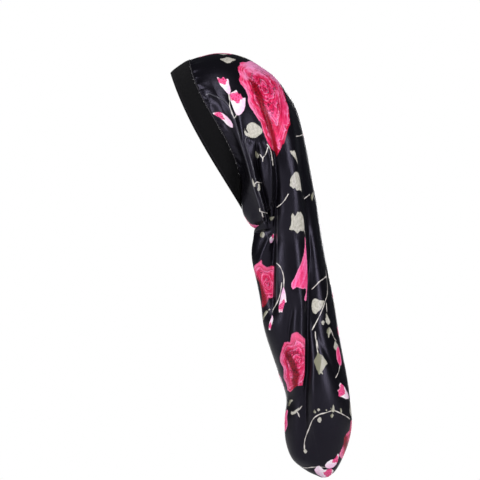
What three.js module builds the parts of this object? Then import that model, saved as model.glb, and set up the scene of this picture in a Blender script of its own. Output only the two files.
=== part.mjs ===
// A long satin sleep bonnet with a knit head band and a hanging tail, in the form it has when worn.
//
// Millimetres, +Z up. The wearer faces -Y, and +X is the wearer's left. The origin is the middle of
// the ring that the head fills. The satin is two mirrored panels, sewn to each other all round the
// profile of the bonnet, in the plane x = 0, and gathered along one edge onto the head band.
//
// A panel is a surface of two parameters. "row" runs from the gathered edge (0) over the crown and
// down to the end of the tail, and "turn" runs round half a section, from the back seam (0) to the
// front seam (PI). Each row is half of a rounded section that spans the profile from back to front.

import * as THREE from 'three';

// Driving dimensions
const SATIN_WALL = 1.2;          // a doubled, lightly puffed satin wall
const TOUCHING_GAP = 0.3;        // left between pieces that touch
const BAND_THICKNESS = 2.4;      // two layers of knit round an elastic
const BAND_CROWN = 0.7;          // how far the band swells outward in its middle
const BAND_EDGE_SHARE = 0.55;    // thickness left at the band's rounded edges
const EDGE_ROLL_DIAMETER = 2.4;  // the turned and gathered edge of the satin
const EDGE_ROLL_RISE = 0.2;      // how far that edge stands proud of the satin

// The band's free edge round the face: its highest and lowest points and its half width
const FREE_EDGE = { back_y: -47, back_z: 84.5, front_y: 45, front_z: -89, half_width: 73, bow: -6, skew: 3 };

// Mesh fineness
const TURN_STEPS = 32;
const FIRST_ROWS = [0, 0.35, 0.7, 1.2];
const ROW_STEPS = 33;
const RING_STEPS = 2 * TURN_STEPS;
const ROLL_SIDES = 6;
const ROUTE_STEPS = 10;
const NARROWEST_FOLD = 7;        // a sharper fold would fall between the mesh's columns
const SMALL = 1e-3;
const RIM_ROW = 0.05;            // how far inside a rim the way out of the satin is read
const RIM_TURN = 0.2;

// Gathers just behind the edge where the satin is drawn in
const GATHER = { waves: 8, height: 1.6, peak_row: 0.55, sway: 0.5 };

// A table is a list of rows whose columns have names
function table(names, rows) {
  const keys = names.split(' ');
  return rows.map((row) => Object.fromEntries(keys.map((key, i) => [key, row[i]])));
}

// One section for each row. back and front are the ends of the section in the profile plane, bow
// bends the whole section and skew bends its lower part, front_power under 1 makes the front fuller,
// and lobe swells both sides forward past the seam.
const SECTIONS = table('back_y back_z front_y front_z half_width bow skew front_power lobe', [
  [-22.5, 101.5, 41.5, -70, 77, 5.6, 16, 0.95, 0],
  [-9, 105.7, 51, -76, 80, 6, 15, 0.8, 10],
  [9, 109.6, 54, -87, 82.5, 6, 13, 0.68, 13],
  [29, 109, 56, -98, 84, 5, 10, 0.6, 14],
  [49, 103, 58, -106, 84.5, 4, 8, 0.55, 10.5],
  [67.5, 92, 61, -110.5, 84.5, 3, 5, 0.54, 8],
  [84, 79.5, 66, -110.5, 83.5, 2, 3, 0.55, 3],
  [98.5, 61, 73, -109.5, 81, 0, 0, 0.6, 2],
  [111, 40, 76, -112, 77.5, 0, 0, 0.85, 12],
  [119, 14, 75.5, -117.5, 74, 0, 0, 1, 19.5],
  [125, -14, 74.5, -123, 71, 0, 0, 1, 20],
  [130.5, -45, 73, -129, 68.5, 0, 0, 1, 20],
  [136, -75, 72, -135.5, 66, 0, 0, 0.95, 20.5],
  [140.5, -107.5, 70.5, -144, 64.5, 0, 0, 0.9, 19.5],
  [145.5, -139, 70, -156, 63.5, 0, 0, 0.85, 17.5],
  [152, -170, 70, -175, 62.5, 0, 0, 0.8, 13],
  [158, -201, 72.5, -202.5, 61, 0, 0, 0.8, 10],
  [162.5, -232.5, 73, -232.5, 59, 0, 0, 0.85, 6.5],
  [168, -264, 79, -261, 56.5, 0, 0, 0.9, 3],
  [174, -295, 88, -291, 53.5, 0, 0, 1, 0],
  [178, -325, 97.5, -320, 49, 0, 0, 1.05, 0],
  [180, -352.5, 95.5, -349, 43, 0, 0, 1.1, 0],
  [176, -376, 97, -375, 35, 0, 0, 1.1, 0],
  [167, -399, 105.5, -397.5, 24, 0, 0, 1.1, 0],
  [159, -412.5, 123, -412, 13, 1, 0, 1.1, 0],
  [151, -419.5, 138.5, -419.3, 0, 1.5, 0, 1, 0],
]);
const LAST_ROW = SECTIONS.length - 1;
const LOBE_TURN = THREE.MathUtils.degToRad(153);
const LOBE_SPREAD = THREE.MathUtils.degToRad(24);
const LOBE_FADE = 0.25;          // sine of the turn over which a lobe fades into the seam

// One route for each fold, in the profile plane. height is positive on a ridge and negative in a
// valley, and front and back are the widths over which it dies away on each side of the route.
const fold = (rows) => table('y z height front back', rows);
const FOLDS = {
  napeValley: fold([
    [62.5, 61, 0, 14, 10], [71, 34, -3, 14, 10], [76, 19, -4, 13, 10], [79, 0, -5, 12, 10],
    [82.5, -17.5, -6, 12, 9], [84, -42.5, -7, 12, 7], [85, -81, -9, 12, 5], [84.5, -100, -11, 12, 4],
    [83, -124, -13, 12, 4], [82.5, -161, -12, 11, 4], [81, -199, -8, 11, 5], [79, -226, 0, 11, 7],
  ]),
  pleatValley: fold([
    [109, 44, 0, 4, 10], [109, 6, -2.5, 4, 10], [109.5, -9.5, -3.5, 4, 11], [112, -19, -4, 3.5, 11],
    [116, -43, -5, 3.5, 12], [118, -62, -6, 3.5, 12], [120.5, -81, -7, 3.5, 12],
    [122, -100, -7, 3.5, 12], [124, -124, -8, 3.5, 12], [126, -149, -9, 3.5, 12],
    [126.5, -175, -9, 3.5, 12], [126.5, -205, -10, 3.5, 12], [126, -236, -11, 3.5, 12],
    [126.5, -262, -12, 3.5, 11], [126.5, -287, -12, 4, 10], [125.5, -305, -9, 5, 10],
    [123.5, -330, -5, 7, 10], [121, -361, 0, 9, 10],
  ]),
  middleRidge: fold([
    [90, 40, 0, 12, 12], [93, 0, 2.5, 12, 12], [94, -40, 4, 10, 12], [95, -81, 5, 9, 12],
    [95, -125, 5, 9, 12], [98, -165, 4, 9, 12], [104, -205, 3, 9, 12], [112, -240, 0, 9, 12],
  ]),
  browGather: fold([
    [-13, 81, 0, 6, 6], [1, 74, 2, 6, 6], [11.5, 63.5, 2.5, 6, 6], [23, 51, 2, 6, 5], [27.5, 41, 0, 6, 5],
  ]),
  earRidge: fold([
    [-6, 52.5, 0, 8, 5], [6, 56, 1.5, 8, 5], [19, 51, 2.5, 9, 4.5], [26, 40.5, 3.5, 9, 4],
    [33, 26.5, 4, 9, 4], [40, 5.5, 4.5, 10, 3.5], [48.5, -22.5, 4.5, 10, 3.5],
    [57, -52.5, 4.5, 10, 3.5], [66, -87.5, 4, 10, 3.5], [73, -110, 2, 10, 3.5],
  ]),
  earGroove: fold([
    [42, 22, 0, 3, 3], [49, -6, -3, 3, 3.5], [56, -34, -3.5, 3, 3.5], [62.5, -57.5, -3.5, 3, 3.5],
    [69, -82.5, -3, 3, 3.5], [74.5, -103, 0, 3, 3.5],
  ]),
  secondRidge: fold([
    [51, 6, 0, 4, 5], [52.5, -4, 2.5, 4, 5], [57.5, -24, 3, 4, 5], [64, -49, 3, 4, 5],
    [69, -67.5, 2.5, 4, 5], [74, -87, 0, 4, 5],
  ]),
  thirdRidge: fold([
    [68, -15, 0, 4, 4], [70, -30, 2, 4, 4], [72.5, -50, 2.2, 4, 4], [76, -66, 2, 4, 4],
    [80, -83, 1.5, 4, 4], [82, -96, 0, 4, 4],
  ]),
  lobeGroove: fold([
    [94, -114, 0, 6, 6], [94, -151, -2.5, 6, 6], [96, -189, -2, 6, 6], [103, -215, -2.5, 6, 6],
    [107, -235, -2, 5, 6], [105, -252, -2, 5, 6], [99, -262, -3.5, 6, 6], [100, -285, -4, 6, 7],
    [102.5, -316, 0, 6, 7],
  ]),
  slantWrinkle: fold([
    [133, -228, 0, 4, 5], [141, -252, -3, 4, 5], [147.5, -265, -3.5, 4, 5], [154, -281, -3, 4, 5],
    [161, -294, -2.5, 4, 5], [171, -305, 0, 4, 5],
  ]),
  lowRidge: fold([
    [131, -280, 0, 6, 9], [130.5, -300, 2.5, 6, 9], [129, -332, 3, 6, 9], [131, -358, 2, 6, 9],
    [133, -385, 0, 6, 9],
  ]),
  lowGroove: fold([
    [113, -310, 0, 6, 6], [112, -335, -2.5, 6, 6], [113, -360, -2.5, 6, 6], [117, -382, 0, 6, 6],
  ]),
  tuckRidge: fold([[78, -118, 0, 4, 5], [75.5, -124, 2, 4, 5], [66, -146, 2, 4, 6], [62, -160, 0, 4, 6]]),
};
const FOLD_SEAM_FADE = 0.3;      // turn over which the folds fade towards a seam
const FOLD_FIRST_ROW = 0.15;     // the folds start here and are whole 1.2 rows later
const FOLD_ROW_FADE = 1.2;

// The hidden panel has the same folds, a little further back and a little shallower
const SIDES = {
  left: { sign: 1, foldShift: 0, foldShare: 1 },
  right: { sign: -1, foldShift: 3, foldShare: 0.85 },
};

const clamp01 = (value) => Math.min(1, Math.max(0, value));
const smooth = (value) => clamp01(value) ** 2 * (3 - 2 * clamp01(value));

// A row between two rows of a table, each column on a smooth curve through its neighbours
function between(rows, at) {
  const first = Math.min(rows.length - 2, Math.max(0, Math.floor(at)));
  const f = at - first;
  const near = [-1, 0, 1, 2].map((k) => rows[Math.min(rows.length - 1, Math.max(0, first + k))]);
  const column = (key) => {
    const [a, b, c, d] = near.map((row) => row[key]);
    return 0.5 * (2 * b + (c - a) * f + (2 * a - 5 * b + 4 * c - d) * f ** 2
      + (3 * b - a - 3 * c + d) * f ** 3);
  };
  return Object.fromEntries(Object.keys(rows[0]).map((key) => [key, column(key)]));
}

// Half of one section: an ellipse from the back point to the front point of the profile, fuller at
// the front by front_power, bent by bow and skew, with the side lobe swelling forward
function sectionPoint(section, turn) {
  const back = new THREE.Vector3(0, section.back_y, section.back_z);
  const front = new THREE.Vector3(0, section.front_y, section.front_z);
  const along = back.clone().sub(front);
  const reach = along.length() / 2;
  along.normalize();
  const across = new THREE.Vector3(0, along.z, -along.y);
  const c = Math.cos(turn);
  const s = Math.max(0, Math.sin(turn));
  const power = 1 + (section.front_power - 1) * smooth((1 - c) / 2);
  const point = back.add(front).multiplyScalar(0.5).addScaledVector(along, reach * c);
  point.addScaledVector(across, (section.bow - (section.skew ?? 0) * c) * s ** 2);
  const lobe = (section.lobe ?? 0) * Math.exp(-(((turn - LOBE_TURN) / LOBE_SPREAD) ** 2));
  point.y -= lobe * Math.min(1, s / LOBE_FADE);
  point.x = section.half_width * s ** power;
  return point;
}

const smoothPoint = (row, turn) => sectionPoint(between(SECTIONS, row), turn);

// The direction straight out of a surface at one of its points. It is read just inside the seams,
// because the surface has no width at the very ends of a section.
function outward(surface, row, turn) {
  const i = Math.min(LAST_ROW - RIM_ROW, row);
  const j = Math.min(Math.PI - RIM_TURN, Math.max(RIM_TURN, turn));
  const alongRow = surface(i + SMALL, j).sub(surface(i - SMALL, j));
  const alongTurn = surface(i, j + SMALL).sub(surface(i, j - SMALL));
  return alongTurn.cross(alongRow).normalize();
}

// A fold's route as short steps, each with its direction
function fineRoute(route) {
  const count = (route.length - 1) * ROUTE_STEPS;
  const steps = Array.from({ length: count + 1 }, (_, k) => between(route, k / ROUTE_STEPS));
  steps.forEach((step, k) => {
    const before = steps[Math.max(0, k - 1)];
    const after = steps[Math.min(count, k + 1)];
    const length = Math.hypot(after.y - before.y, after.z - before.z);
    step.along = [(after.y - before.y) / length, (after.z - before.z) / length];
  });
  return steps;
}
const ROUTES = Object.values(FOLDS).map(fineRoute);

// The height of one fold at a point of the profile: the height of the nearest step of its route.
// A ridge dies away as a bell curve and a valley as a cusp, with its own width on each side.
function foldHeight(route, y, z) {
  let best = Infinity;
  let nearest = route[0];
  for (const step of route) {
    const distance = Math.hypot(y - step.y, z - step.z);
    if (distance < best) {
      best = distance;
      nearest = step;
    }
  }
  const across = (y - nearest.y) * nearest.along[1] - (z - nearest.z) * nearest.along[0];
  const width = Math.max(NARROWEST_FOLD, across > 0 ? nearest.front : nearest.back);
  const fall = nearest.height > 0 ? (best / width) ** 2 : (Math.hypot(best, 1) - 1) / width;
  return nearest.height * Math.exp(-fall);
}

// A point of the finished satin: the smooth section, moved outward by its folds and gathers
function satinPoint(side, row, turn) {
  const point = smoothPoint(row, turn);
  const seamFade = smooth(Math.min(turn, Math.PI - turn) / FOLD_SEAM_FADE);
  const rowFade = clamp01((row - FOLD_FIRST_ROW) / FOLD_ROW_FADE) * clamp01(LAST_ROW - row);
  const y = point.y - side.foldShift;
  const folds = ROUTES.reduce((sum, route) => sum + foldHeight(route, y, point.z), 0);
  const pucker = (row / GATHER.peak_row) ** 2 * Math.exp(1 - (row / GATHER.peak_row) ** 2);
  const wave = Math.sin(2 * GATHER.waves * turn + GATHER.sway * Math.sin(3 * turn));
  const height = seamFade * (side.foldShare * rowFade * folds + GATHER.height * pucker * wave);
  return point.addScaledVector(outward(smoothPoint, row, turn), height);
}

// A panel stays on its own side of the plane where the two are sewn together
function besideSeam(point) {
  point.x = Math.max(TOUCHING_GAP / 2, point.x);
  return point;
}

// A closed solid between two grids of points of the same size, the first with its faces outward.
// Each cell of a grid is split along its shorter diagonal, so that a slanting fold stays smooth.
function solidBetween(outer, inner) {
  const rows = outer.length;
  const columns = outer[0].length;
  const points = [...outer.flat(), ...inner.flat()];
  const at = (i, j) => i * columns + j;
  const under = (index) => index + rows * columns;
  const faces = [];
  const quad = (a, b, c, d) => {
    const short = points[a].distanceTo(points[c]) <= points[b].distanceTo(points[d]);
    faces.push(...(short ? [a, b, c, a, c, d] : [a, b, d, b, c, d]));
  };
  for (let i = 0; i < rows - 1; i++) {
    for (let j = 0; j < columns - 1; j++) {
      const ring = [at(i, j), at(i, j + 1), at(i + 1, j + 1), at(i + 1, j)];
      quad(...ring);
      quad(...ring.map(under).reverse());
    }
  }
  const rim = [];
  for (let i = 0; i < rows - 1; i++) rim.push(at(i, 0));
  for (let j = 0; j < columns - 1; j++) rim.push(at(rows - 1, j));
  for (let i = rows - 1; i > 0; i--) rim.push(at(i, columns - 1));
  for (let j = columns - 1; j > 0; j--) rim.push(at(0, j));
  rim.forEach((from, k) => {
    const to = rim[(k + 1) % rim.length];
    quad(from, to, under(to), under(from));
  });
  return bufferGeometry(points, faces);
}

// A closed ring: one loop of section points at each step round it
function solidRing(loops) {
  const sides = loops[0].length;
  const faces = [];
  loops.forEach((_, i) => {
    const here = i * sides;
    const next = ((i + 1) % loops.length) * sides;
    for (let k = 0; k < sides; k++) {
      const turned = (k + 1) % sides;
      faces.push(here + k, next + turned, next + k, here + k, here + turned, next + turned);
    }
  });
  return bufferGeometry(loops.flat(), faces);
}

function bufferGeometry(points, faces) {
  const position = points.flatMap((point) => point.toArray());
  const geometry = new THREE.BufferGeometry();
  geometry.setAttribute('position', new THREE.Float32BufferAttribute(position, 3));
  geometry.setIndex(faces);
  geometry.computeVertexNormals();
  return geometry;
}

function mirrored(geometry) {
  geometry.scale(-1, 1, 1);
  geometry.setIndex(Array.from(geometry.index.array).reverse());
  geometry.computeVertexNormals();
  return geometry;
}

function satinPanel(side) {
  const surface = (row, turn) => satinPoint(side, row, turn);
  const start = FIRST_ROWS.at(-1);
  const later = Array.from({ length: ROW_STEPS }, (_, k) => start + ((k + 1) / ROW_STEPS) * (LAST_ROW - start));
  const rows = [...FIRST_ROWS, ...later];
  const turns = Array.from({ length: TURN_STEPS + 1 }, (_, k) => (k / TURN_STEPS) * Math.PI);
  const outer = rows.map((row) => turns.map((turn) => besideSeam(surface(row, turn))));
  const inner = rows.map((row) => turns.map((turn) => {
    const out = outward(surface, row, turn);
    return besideSeam(surface(row, turn).addScaledVector(out, -SATIN_WALL));
  }));
  const geometry = solidBetween(outer, inner);
  return side.sign < 0 ? mirrored(geometry) : geometry;
}

// The gathered edge of the satin at one step round the opening: the middle of its wall, the way out
// of the satin, the way forward from it, the way round, and the band's free edge beside it
function mouthFrame(step) {
  const angle = (step / RING_STEPS) * 2 * Math.PI;
  const sign = angle <= Math.PI ? 1 : -1;
  const turn = sign > 0 ? angle : 2 * Math.PI - angle;
  const out = outward(smoothPoint, 0, turn);
  const round = smoothPoint(0, turn + SMALL).sub(smoothPoint(0, turn - SMALL)).normalize();
  const forward = round.clone().cross(out);
  const point = smoothPoint(0, turn).addScaledVector(out, -SATIN_WALL / 2);
  const edge = sectionPoint({ ...FREE_EDGE, front_power: 1 }, turn);
  for (const vector of [point, out, forward, round, edge]) vector.x *= sign;
  round.multiplyScalar(sign);
  return { point, out, forward, round, edge };
}
const RING = Array.from({ length: RING_STEPS }, (_, step) => mouthFrame(step));

function rollCentre({ point, out, forward }) {
  return point.clone()
    .addScaledVector(forward, TOUCHING_GAP + EDGE_ROLL_DIAMETER / 2)
    .addScaledVector(out, EDGE_ROLL_RISE);
}

function gatheredEdge() {
  return solidRing(RING.map((frame) => Array.from({ length: ROLL_SIDES }, (_, k) => {
    const angle = (k / ROLL_SIDES) * 2 * Math.PI;
    return rollCentre(frame)
      .addScaledVector(frame.out, (EDGE_ROLL_DIAMETER / 2) * Math.sin(angle))
      .addScaledVector(frame.forward, (-EDGE_ROLL_DIAMETER / 2) * Math.cos(angle));
  })));
}

// The band's section runs from its sewn edge to its free edge outside and back again inside
const BAND_PROFILE = table('across side', [
  [0, 1], [0.3, 1], [0.7, 1], [1, 1], [1, -1], [0.7, -1], [0.3, -1], [0, -1],
]);

// The band leaves the rolled edge on the side that it leads away to, because at the nape the satin
// turns back and hangs down behind the band
function headBand() {
  const clear = EDGE_ROLL_DIAMETER / 2 + BAND_THICKNESS / 2 + TOUCHING_GAP;
  return solidRing(RING.map(({ out: satinOut, forward, round, edge, ...frame }) => {
    const roll = rollCentre({ forward, out: satinOut, ...frame });
    const lean = edge.clone().sub(roll);
    const turned = Math.atan2(lean.dot(satinOut), lean.dot(forward));
    const half = (turned < -Math.PI / 2 ? turned + 2 * Math.PI : turned) / 2;
    const sewn = roll.addScaledVector(forward, clear * Math.cos(half))
      .addScaledVector(satinOut, clear * Math.sin(half));
    const width = edge.clone().sub(sewn);
    const out = width.clone().cross(round).normalize();
    const crown = BAND_CROWN * Math.max(0, Math.cos(half));
    return BAND_PROFILE.map(({ across, side }) => {
      const middle = 4 * across * (1 - across);
      const share = BAND_EDGE_SHARE + (1 - BAND_EDGE_SHARE) * middle;
      const height = crown * middle + (side * share * BAND_THICKNESS) / 2;
      return sewn.clone().addScaledVector(width, across).addScaledVector(out, height);
    });
  }));
}

const SATIN = { color: 0x201e26, roughness: 0.36, metalness: 0 };
const KNIT = { color: 0x17161b, roughness: 0.9, metalness: 0 };

function piece(name, geometry, finish) {
  const mesh = new THREE.Mesh(geometry, new THREE.MeshStandardMaterial(finish));
  mesh.name = name;
  return mesh;
}

const bonnet = new THREE.Group();
bonnet.add(
  piece('satin_panel_left', satinPanel(SIDES.left), SATIN),
  piece('satin_panel_right', satinPanel(SIDES.right), SATIN),
  piece('gathered_edge', gatheredEdge(), SATIN),
  piece('elastic_band', headBand(), KNIT),
);

export default bonnet;
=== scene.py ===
"""A long satin sleep bonnet with a rose print, in the form that it has on a head.

The satin is one formula, used twice. A row of the bonnet is half of a rounded section: it starts at
the back seam, swells sideways as a power of the sine of the turn, and ends at the front seam, so
    point = middle of the section + reach * cos(turn) along it + bend * sin(turn) squared across it
and the sideways distance is half the width times sin(turn) to a power that makes it fuller in front.
Each fold is a route drawn in the profile. The cloth moves sideways by the fold's height, which dies
away with the distance from the route: as a bell curve for a soft roll, and steeply for a crease.
The print is laid out flat on the cloth, in metres along and across it, and the cloth that a pleat
hides is added to the distance across, so that a rose is cut off where it goes into a pleat.
"""
import math

import bpy
import numpy as np
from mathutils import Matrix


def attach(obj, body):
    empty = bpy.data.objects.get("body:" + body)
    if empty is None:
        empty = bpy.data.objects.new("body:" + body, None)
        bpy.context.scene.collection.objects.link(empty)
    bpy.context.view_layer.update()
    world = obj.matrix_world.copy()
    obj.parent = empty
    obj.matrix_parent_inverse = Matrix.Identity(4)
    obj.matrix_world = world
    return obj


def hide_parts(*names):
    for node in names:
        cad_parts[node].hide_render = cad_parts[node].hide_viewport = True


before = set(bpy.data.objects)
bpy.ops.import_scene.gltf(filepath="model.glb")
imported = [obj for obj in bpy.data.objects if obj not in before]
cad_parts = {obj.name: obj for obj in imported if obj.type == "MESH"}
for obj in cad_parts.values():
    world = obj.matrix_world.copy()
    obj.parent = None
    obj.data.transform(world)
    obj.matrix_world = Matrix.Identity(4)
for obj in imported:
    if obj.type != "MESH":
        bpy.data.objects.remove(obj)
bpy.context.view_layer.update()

# %% [markdown]
# ## The form of the satin
# The real satin is two flat panels, gathered onto a band and sewn together all round the profile. It
# could be cut flat and draped by a cloth simulation, but the folds would then fall anywhere. Here its
# finished form is a formula, so each swelling and fold is where this bonnet has it. Sizes are in
# millimetres, as in the solid model. A row of SECTIONS is one section of the bonnet, from the edge
# that is gathered onto the band (row 0), over the crown, down to the end of the tail.

# %% Sizes and the table of sections
MM = 0.001
PHOTO_SCALE = 1.25                 # millimetres for each step of the photograph's grid
PHOTO_ORIGIN = (208.0, 141.0)      # where the object's origin is in the photograph
SHEET = 0.9                        # thickness of the satin
SEAM_GAP = 0.04                    # between the two panels at their seams
SECTION_NAMES = "back_y back_z front_y front_z half_width bow skew front_power lobe".split()
SECTIONS = np.array([
    [-22.5, 101.5, 41.5, -70, 77, 5.6, 16, 0.95, 0],
    [-9, 105.7, 51, -76, 80, 6, 15, 0.8, 10],
    [9, 109.6, 54, -87, 82.5, 6, 13, 0.68, 13],
    [29, 109, 56, -98, 84, 5, 10, 0.6, 14],
    [49, 103, 58, -106, 84.5, 4, 8, 0.55, 10.5],
    [67.5, 92, 61, -110.5, 84.5, 3, 5, 0.54, 8],
    [84, 79.5, 66, -110.5, 83.5, 2, 3, 0.55, 3],
    [98.5, 61, 73, -109.5, 81, 0, 0, 0.6, 2],
    [111, 40, 76, -112, 77.5, 0, 0, 0.85, 12],
    [119, 14, 75.5, -117.5, 74, 0, 0, 1, 19.5],
    [125, -14, 74.5, -123, 71, 0, 0, 1, 20],
    [130.5, -45, 73, -129, 68.5, 0, 0, 1, 20],
    [136, -75, 72, -135.5, 66, 0, 0, 0.95, 20.5],
    [140.5, -107.5, 70.5, -144, 64.5, 0, 0, 0.9, 19.5],
    [145.5, -139, 70, -156, 63.5, 0, 0, 0.85, 17.5],
    [152, -170, 70, -175, 62.5, 0, 0, 0.8, 13],
    [158, -201, 72.5, -202.5, 61, 0, 0, 0.8, 10],
    [162.5, -232.5, 73, -232.5, 59, 0, 0, 0.85, 6.5],
    [168, -264, 79, -261, 56.5, 0, 0, 0.9, 3],
    [174, -295, 88, -291, 53.5, 0, 0, 1, 0],
    [178, -325, 97.5, -320, 49, 0, 0, 1.05, 0],
    [180, -352.5, 95.5, -349, 43, 0, 0, 1.1, 0],
    [176, -376, 97, -375, 35, 0, 0, 1.1, 0],
    [167, -399, 105.5, -397.5, 24, 0, 0, 1.1, 0],
    [159, -412.5, 123, -412, 13, 1, 0, 1.1, 0],
    [151, -419.5, 138.5, -419.3, 0, 1.5, 0, 1, 0],
])
LAST_ROW = len(SECTIONS) - 1
print(len(SECTIONS), "sections")

# %% [markdown]
# Satin shows its shape through its folds, so they are real relief and not bump. Each fold is a short
# route down the profile, and it moves the cloth sideways, away from the middle of the bonnet. A row of
# a route holds y, z, the height in millimetres, negative for a valley, and how far the fold reaches in
# front of its route and behind it. edge is the radius of a crease's edge, and 0 for a soft roll. Along
# the sharpest creases a pale line is painted as a highlight, and a thin coat adds real gloss there.

# %% The folds
FOLDS = {
    "crown_valley": dict(edge=0.8, route=[
        (62.5, 61, 0, 8, 9), (67, 47, -2.5, 7, 9), (71, 34, -5, 5, 8), (77, 14, -6.5, 4, 8),
        (81, -5, -7.5, 3, 8), (84, -30, -8, 2.2, 8), (85.5, -55, -8, 2.2, 7),
        (84.5, -80, -8, 2.2, 4), (84, -99, -9, 4, 1.6), (83.8, -124, -11, 8, 1.4),
        (82, -142, -12, 10, 1.4), (81, -161, -11, 11, 1.5), (81, -186, -9, 11, 2),
        (82, -205, -6, 11, 4), (80, -226, 0, 11, 6)]),
    "back_pleat": dict(edge=0.8, route=[
        (100, 72, 0, 3, 6), (105, 51, -1.5, 3, 6), (110, 24, -3, 2.5, 6), (114, -5, -4.5, 2.5, 6),
        (116, -30, -6.5, 2.5, 6), (119, -55, -7.5, 2.5, 7), (122, -80, -8.5, 3, 9),
        (124, -99, -10, 5, 11), (126.5, -124, -12, 8, 13), (127.5, -142, -12.5, 8, 14),
        (126, -165, -12, 7, 14), (125, -186, -12, 6, 14), (125, -211, -12, 5, 12),
        (124.5, -236, -12, 4.5, 10), (125, -261, -12, 4, 7), (124.5, -286, -12, 6, 4.5),
        (123, -305, -12, 8, 4), (122, -324, -11, 9, 4), (122.5, -361, -9, 10, 6),
        (122, -380, -5, 10, 9), (119, -398, 0, 9, 9)]),
    "pleat_lip": dict(edge=2, route=[
        (90, 70, 0, 12, 3), (97.5, 51, 3, 12, 3), (105, 20, 6, 12, 2.5), (109.5, -5, 8, 12, 2.5),
        (111, -30, 9, 13, 2.5), (115, -55, 8, 13, 2.5), (118, -80, 5.5, 12, 2.5),
        (120, -99, 3.5, 12, 3), (122, -124, 0, 12, 3)]),
    "back_roll": dict(edge=0, route=[
        (108, 40, 0, 7, 6), (114, 15, 2, 7, 6), (119, -5, 3, 7, 6), (123, -30, 4, 7, 6),
        (128, -55, 4, 7, 6), (132, -80, 4, 7, 6), (135, -99, 4.5, 8, 6), (138, -124, 5, 9, 6),
        (140.5, -142, 5, 9, 6), (144, -165, 4.5, 9, 6), (148, -186, 4, 10, 6),
        (153, -211, 3, 10, 6), (157, -236, 0, 10, 6)]),
    "ear_crease": dict(edge=2.4, route=[
        (-5, 54, 0, 3, 9), (0, 59, 3, 5, 12), (9, 56, 5.5, 7, 13), (19, 51, 7, 8, 12),
        (26, 44, 7.5, 9, 9), (32, 30.5, 8, 9, 4), (36.5, 14, 8, 9, 2.5), (42, -5, 7.5, 8, 1.8),
        (49.5, -30, 6.5, 6, 1.6), (56, -55, 6, 4, 1.6), (64, -80, 6, 3, 1.6),
        (69, -99, 4.5, 3, 2), (73, -108, 1.5, 4, 3)]),
    "second_crease": dict(edge=1.2, route=[
        (52, 8, 0, 2, 4), (47, 3, 2.5, 1.8, 7), (47.5, -5, 4, 1.6, 6), (55, -30, 5, 1.6, 2.5),
        (61, -55, 5, 1.6, 2.2), (68.7, -80, 4, 1.5, 1.8), (72, -95, 1.5, 1.5, 2),
        (74, -104, 0, 2, 3)]),
    "hollow": dict(edge=0.8, route=[
        (60, 4, 0, 3, 4), (61, -5, -5, 3, 3), (62, -30, -9, 2.6, 2.6), (67, -55, -8, 2, 1.6),
        (73, -80, -7, 1.8, 2.2), (75.5, -97, -6, 2, 2.2), (76, -112, 0, 3, 4)]),
    "middle_roll": dict(edge=0, route=[
        (72, 0, 0, 5, 4), (76, -14, 2.5, 6, 3.5), (79, -30, 3.5, 6, 3.5), (78.5, -55, 3.5, 6, 4),
        (79, -80, 3, 4, 4), (80, -99, 1.5, 3, 3), (80, -110, 0, 3, 3)]),
    "lobe_groove": dict(edge=0.8, route=[
        (104, -192, 0, 4, 4), (105, -208, -5, 4, 5), (103, -222, -6, 4, 5),
        (101, -236, -6.5, 4, 5), (100, -261, -7, 4, 5), (100, -286, -7, 4, 5),
        (101, -305, -4, 5, 5), (102.5, -322, 0, 6, 6)]),
    "slant_wrinkle": dict(edge=0.8, route=[
        (133, -228, 0, 4, 5), (141, -252, -1.5, 4, 5), (147.5, -265, -2, 4, 5),
        (154, -281, -1.8, 4, 5), (161, -294, -1.5, 4, 5), (171, -305, 0, 4, 5)]),
    "low_ridge": dict(edge=0, route=[
        (131, -290, 0, 7, 10), (132, -320, 2, 7, 10), (135, -355, 2.5, 8, 12),
        (140, -380, 1.5, 9, 12), (143, -395, 0, 9, 12)]),
    "end_crease": dict(edge=0.8, route=[
        (113, -402, 0, 4, 4), (119, -406, -2, 4, 4), (132, -408, -2, 4, 4), (148, -407, 0, 4, 4)]),
    "flap_valley": dict(edge=0, route=[
        (44, -45, 0, 5, 6), (46, -60, -2.5, 5, 7), (46.5, -80, -3, 5, 8), (47.5, -95, -2, 5, 7),
        (50, -108, 0, 5, 5)]),
    "nape_tuck": dict(edge=0.8, route=[
        (46, -113, -3, 9, 1.5), (56, -114.5, -6, 10, 1.5), (66, -113.5, -7, 11, 1.5),
        (76, -112, -6, 10, 2), (83, -108, 0, 8, 4)]),
    "tuck_ridge": dict(edge=0, route=[
        (78, -118, 0, 4, 5), (75.5, -124, 2.5, 4, 5), (66, -146, 2.5, 4, 6), (62, -160, 0, 4, 6)]),
}
# Creases that get a painted highlight and a thin coat: two behind the ear, and one down the middle.
HIGHLIGHTED_CREASES = [             # two creases behind the ear, and one down the middle
    FOLDS["ear_crease"]["route"], FOLDS["second_crease"]["route"],
    [(86.5, -80), (86.5, -110), (86.3, -150), (86, -180), (86, -205)]]
print(len(FOLDS), "folds,", len(HIGHLIGHTED_CREASES), "pressed creases")

# %% [markdown]
# A table is read at any place between its rows by a smooth curve through them, so a few dozen rows
# give an even surface. The way straight out of the cloth is the cross product of its two directions.

# %% Surface formulas
LOBE_TURN, LOBE_SPREAD, LOBE_FADE = math.radians(153), math.radians(24), 0.25
TINY = 1e-3             # the step for reading a direction, in rows or radians
SEAM_INSET = 0.05       # directions are read at least this far inside the seams


def smooth(value):
    """0 below 0, 1 above 1, and an S-shaped curve between them."""
    value = np.clip(value, 0, 1)
    return value * value * (3 - 2 * value)


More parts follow.
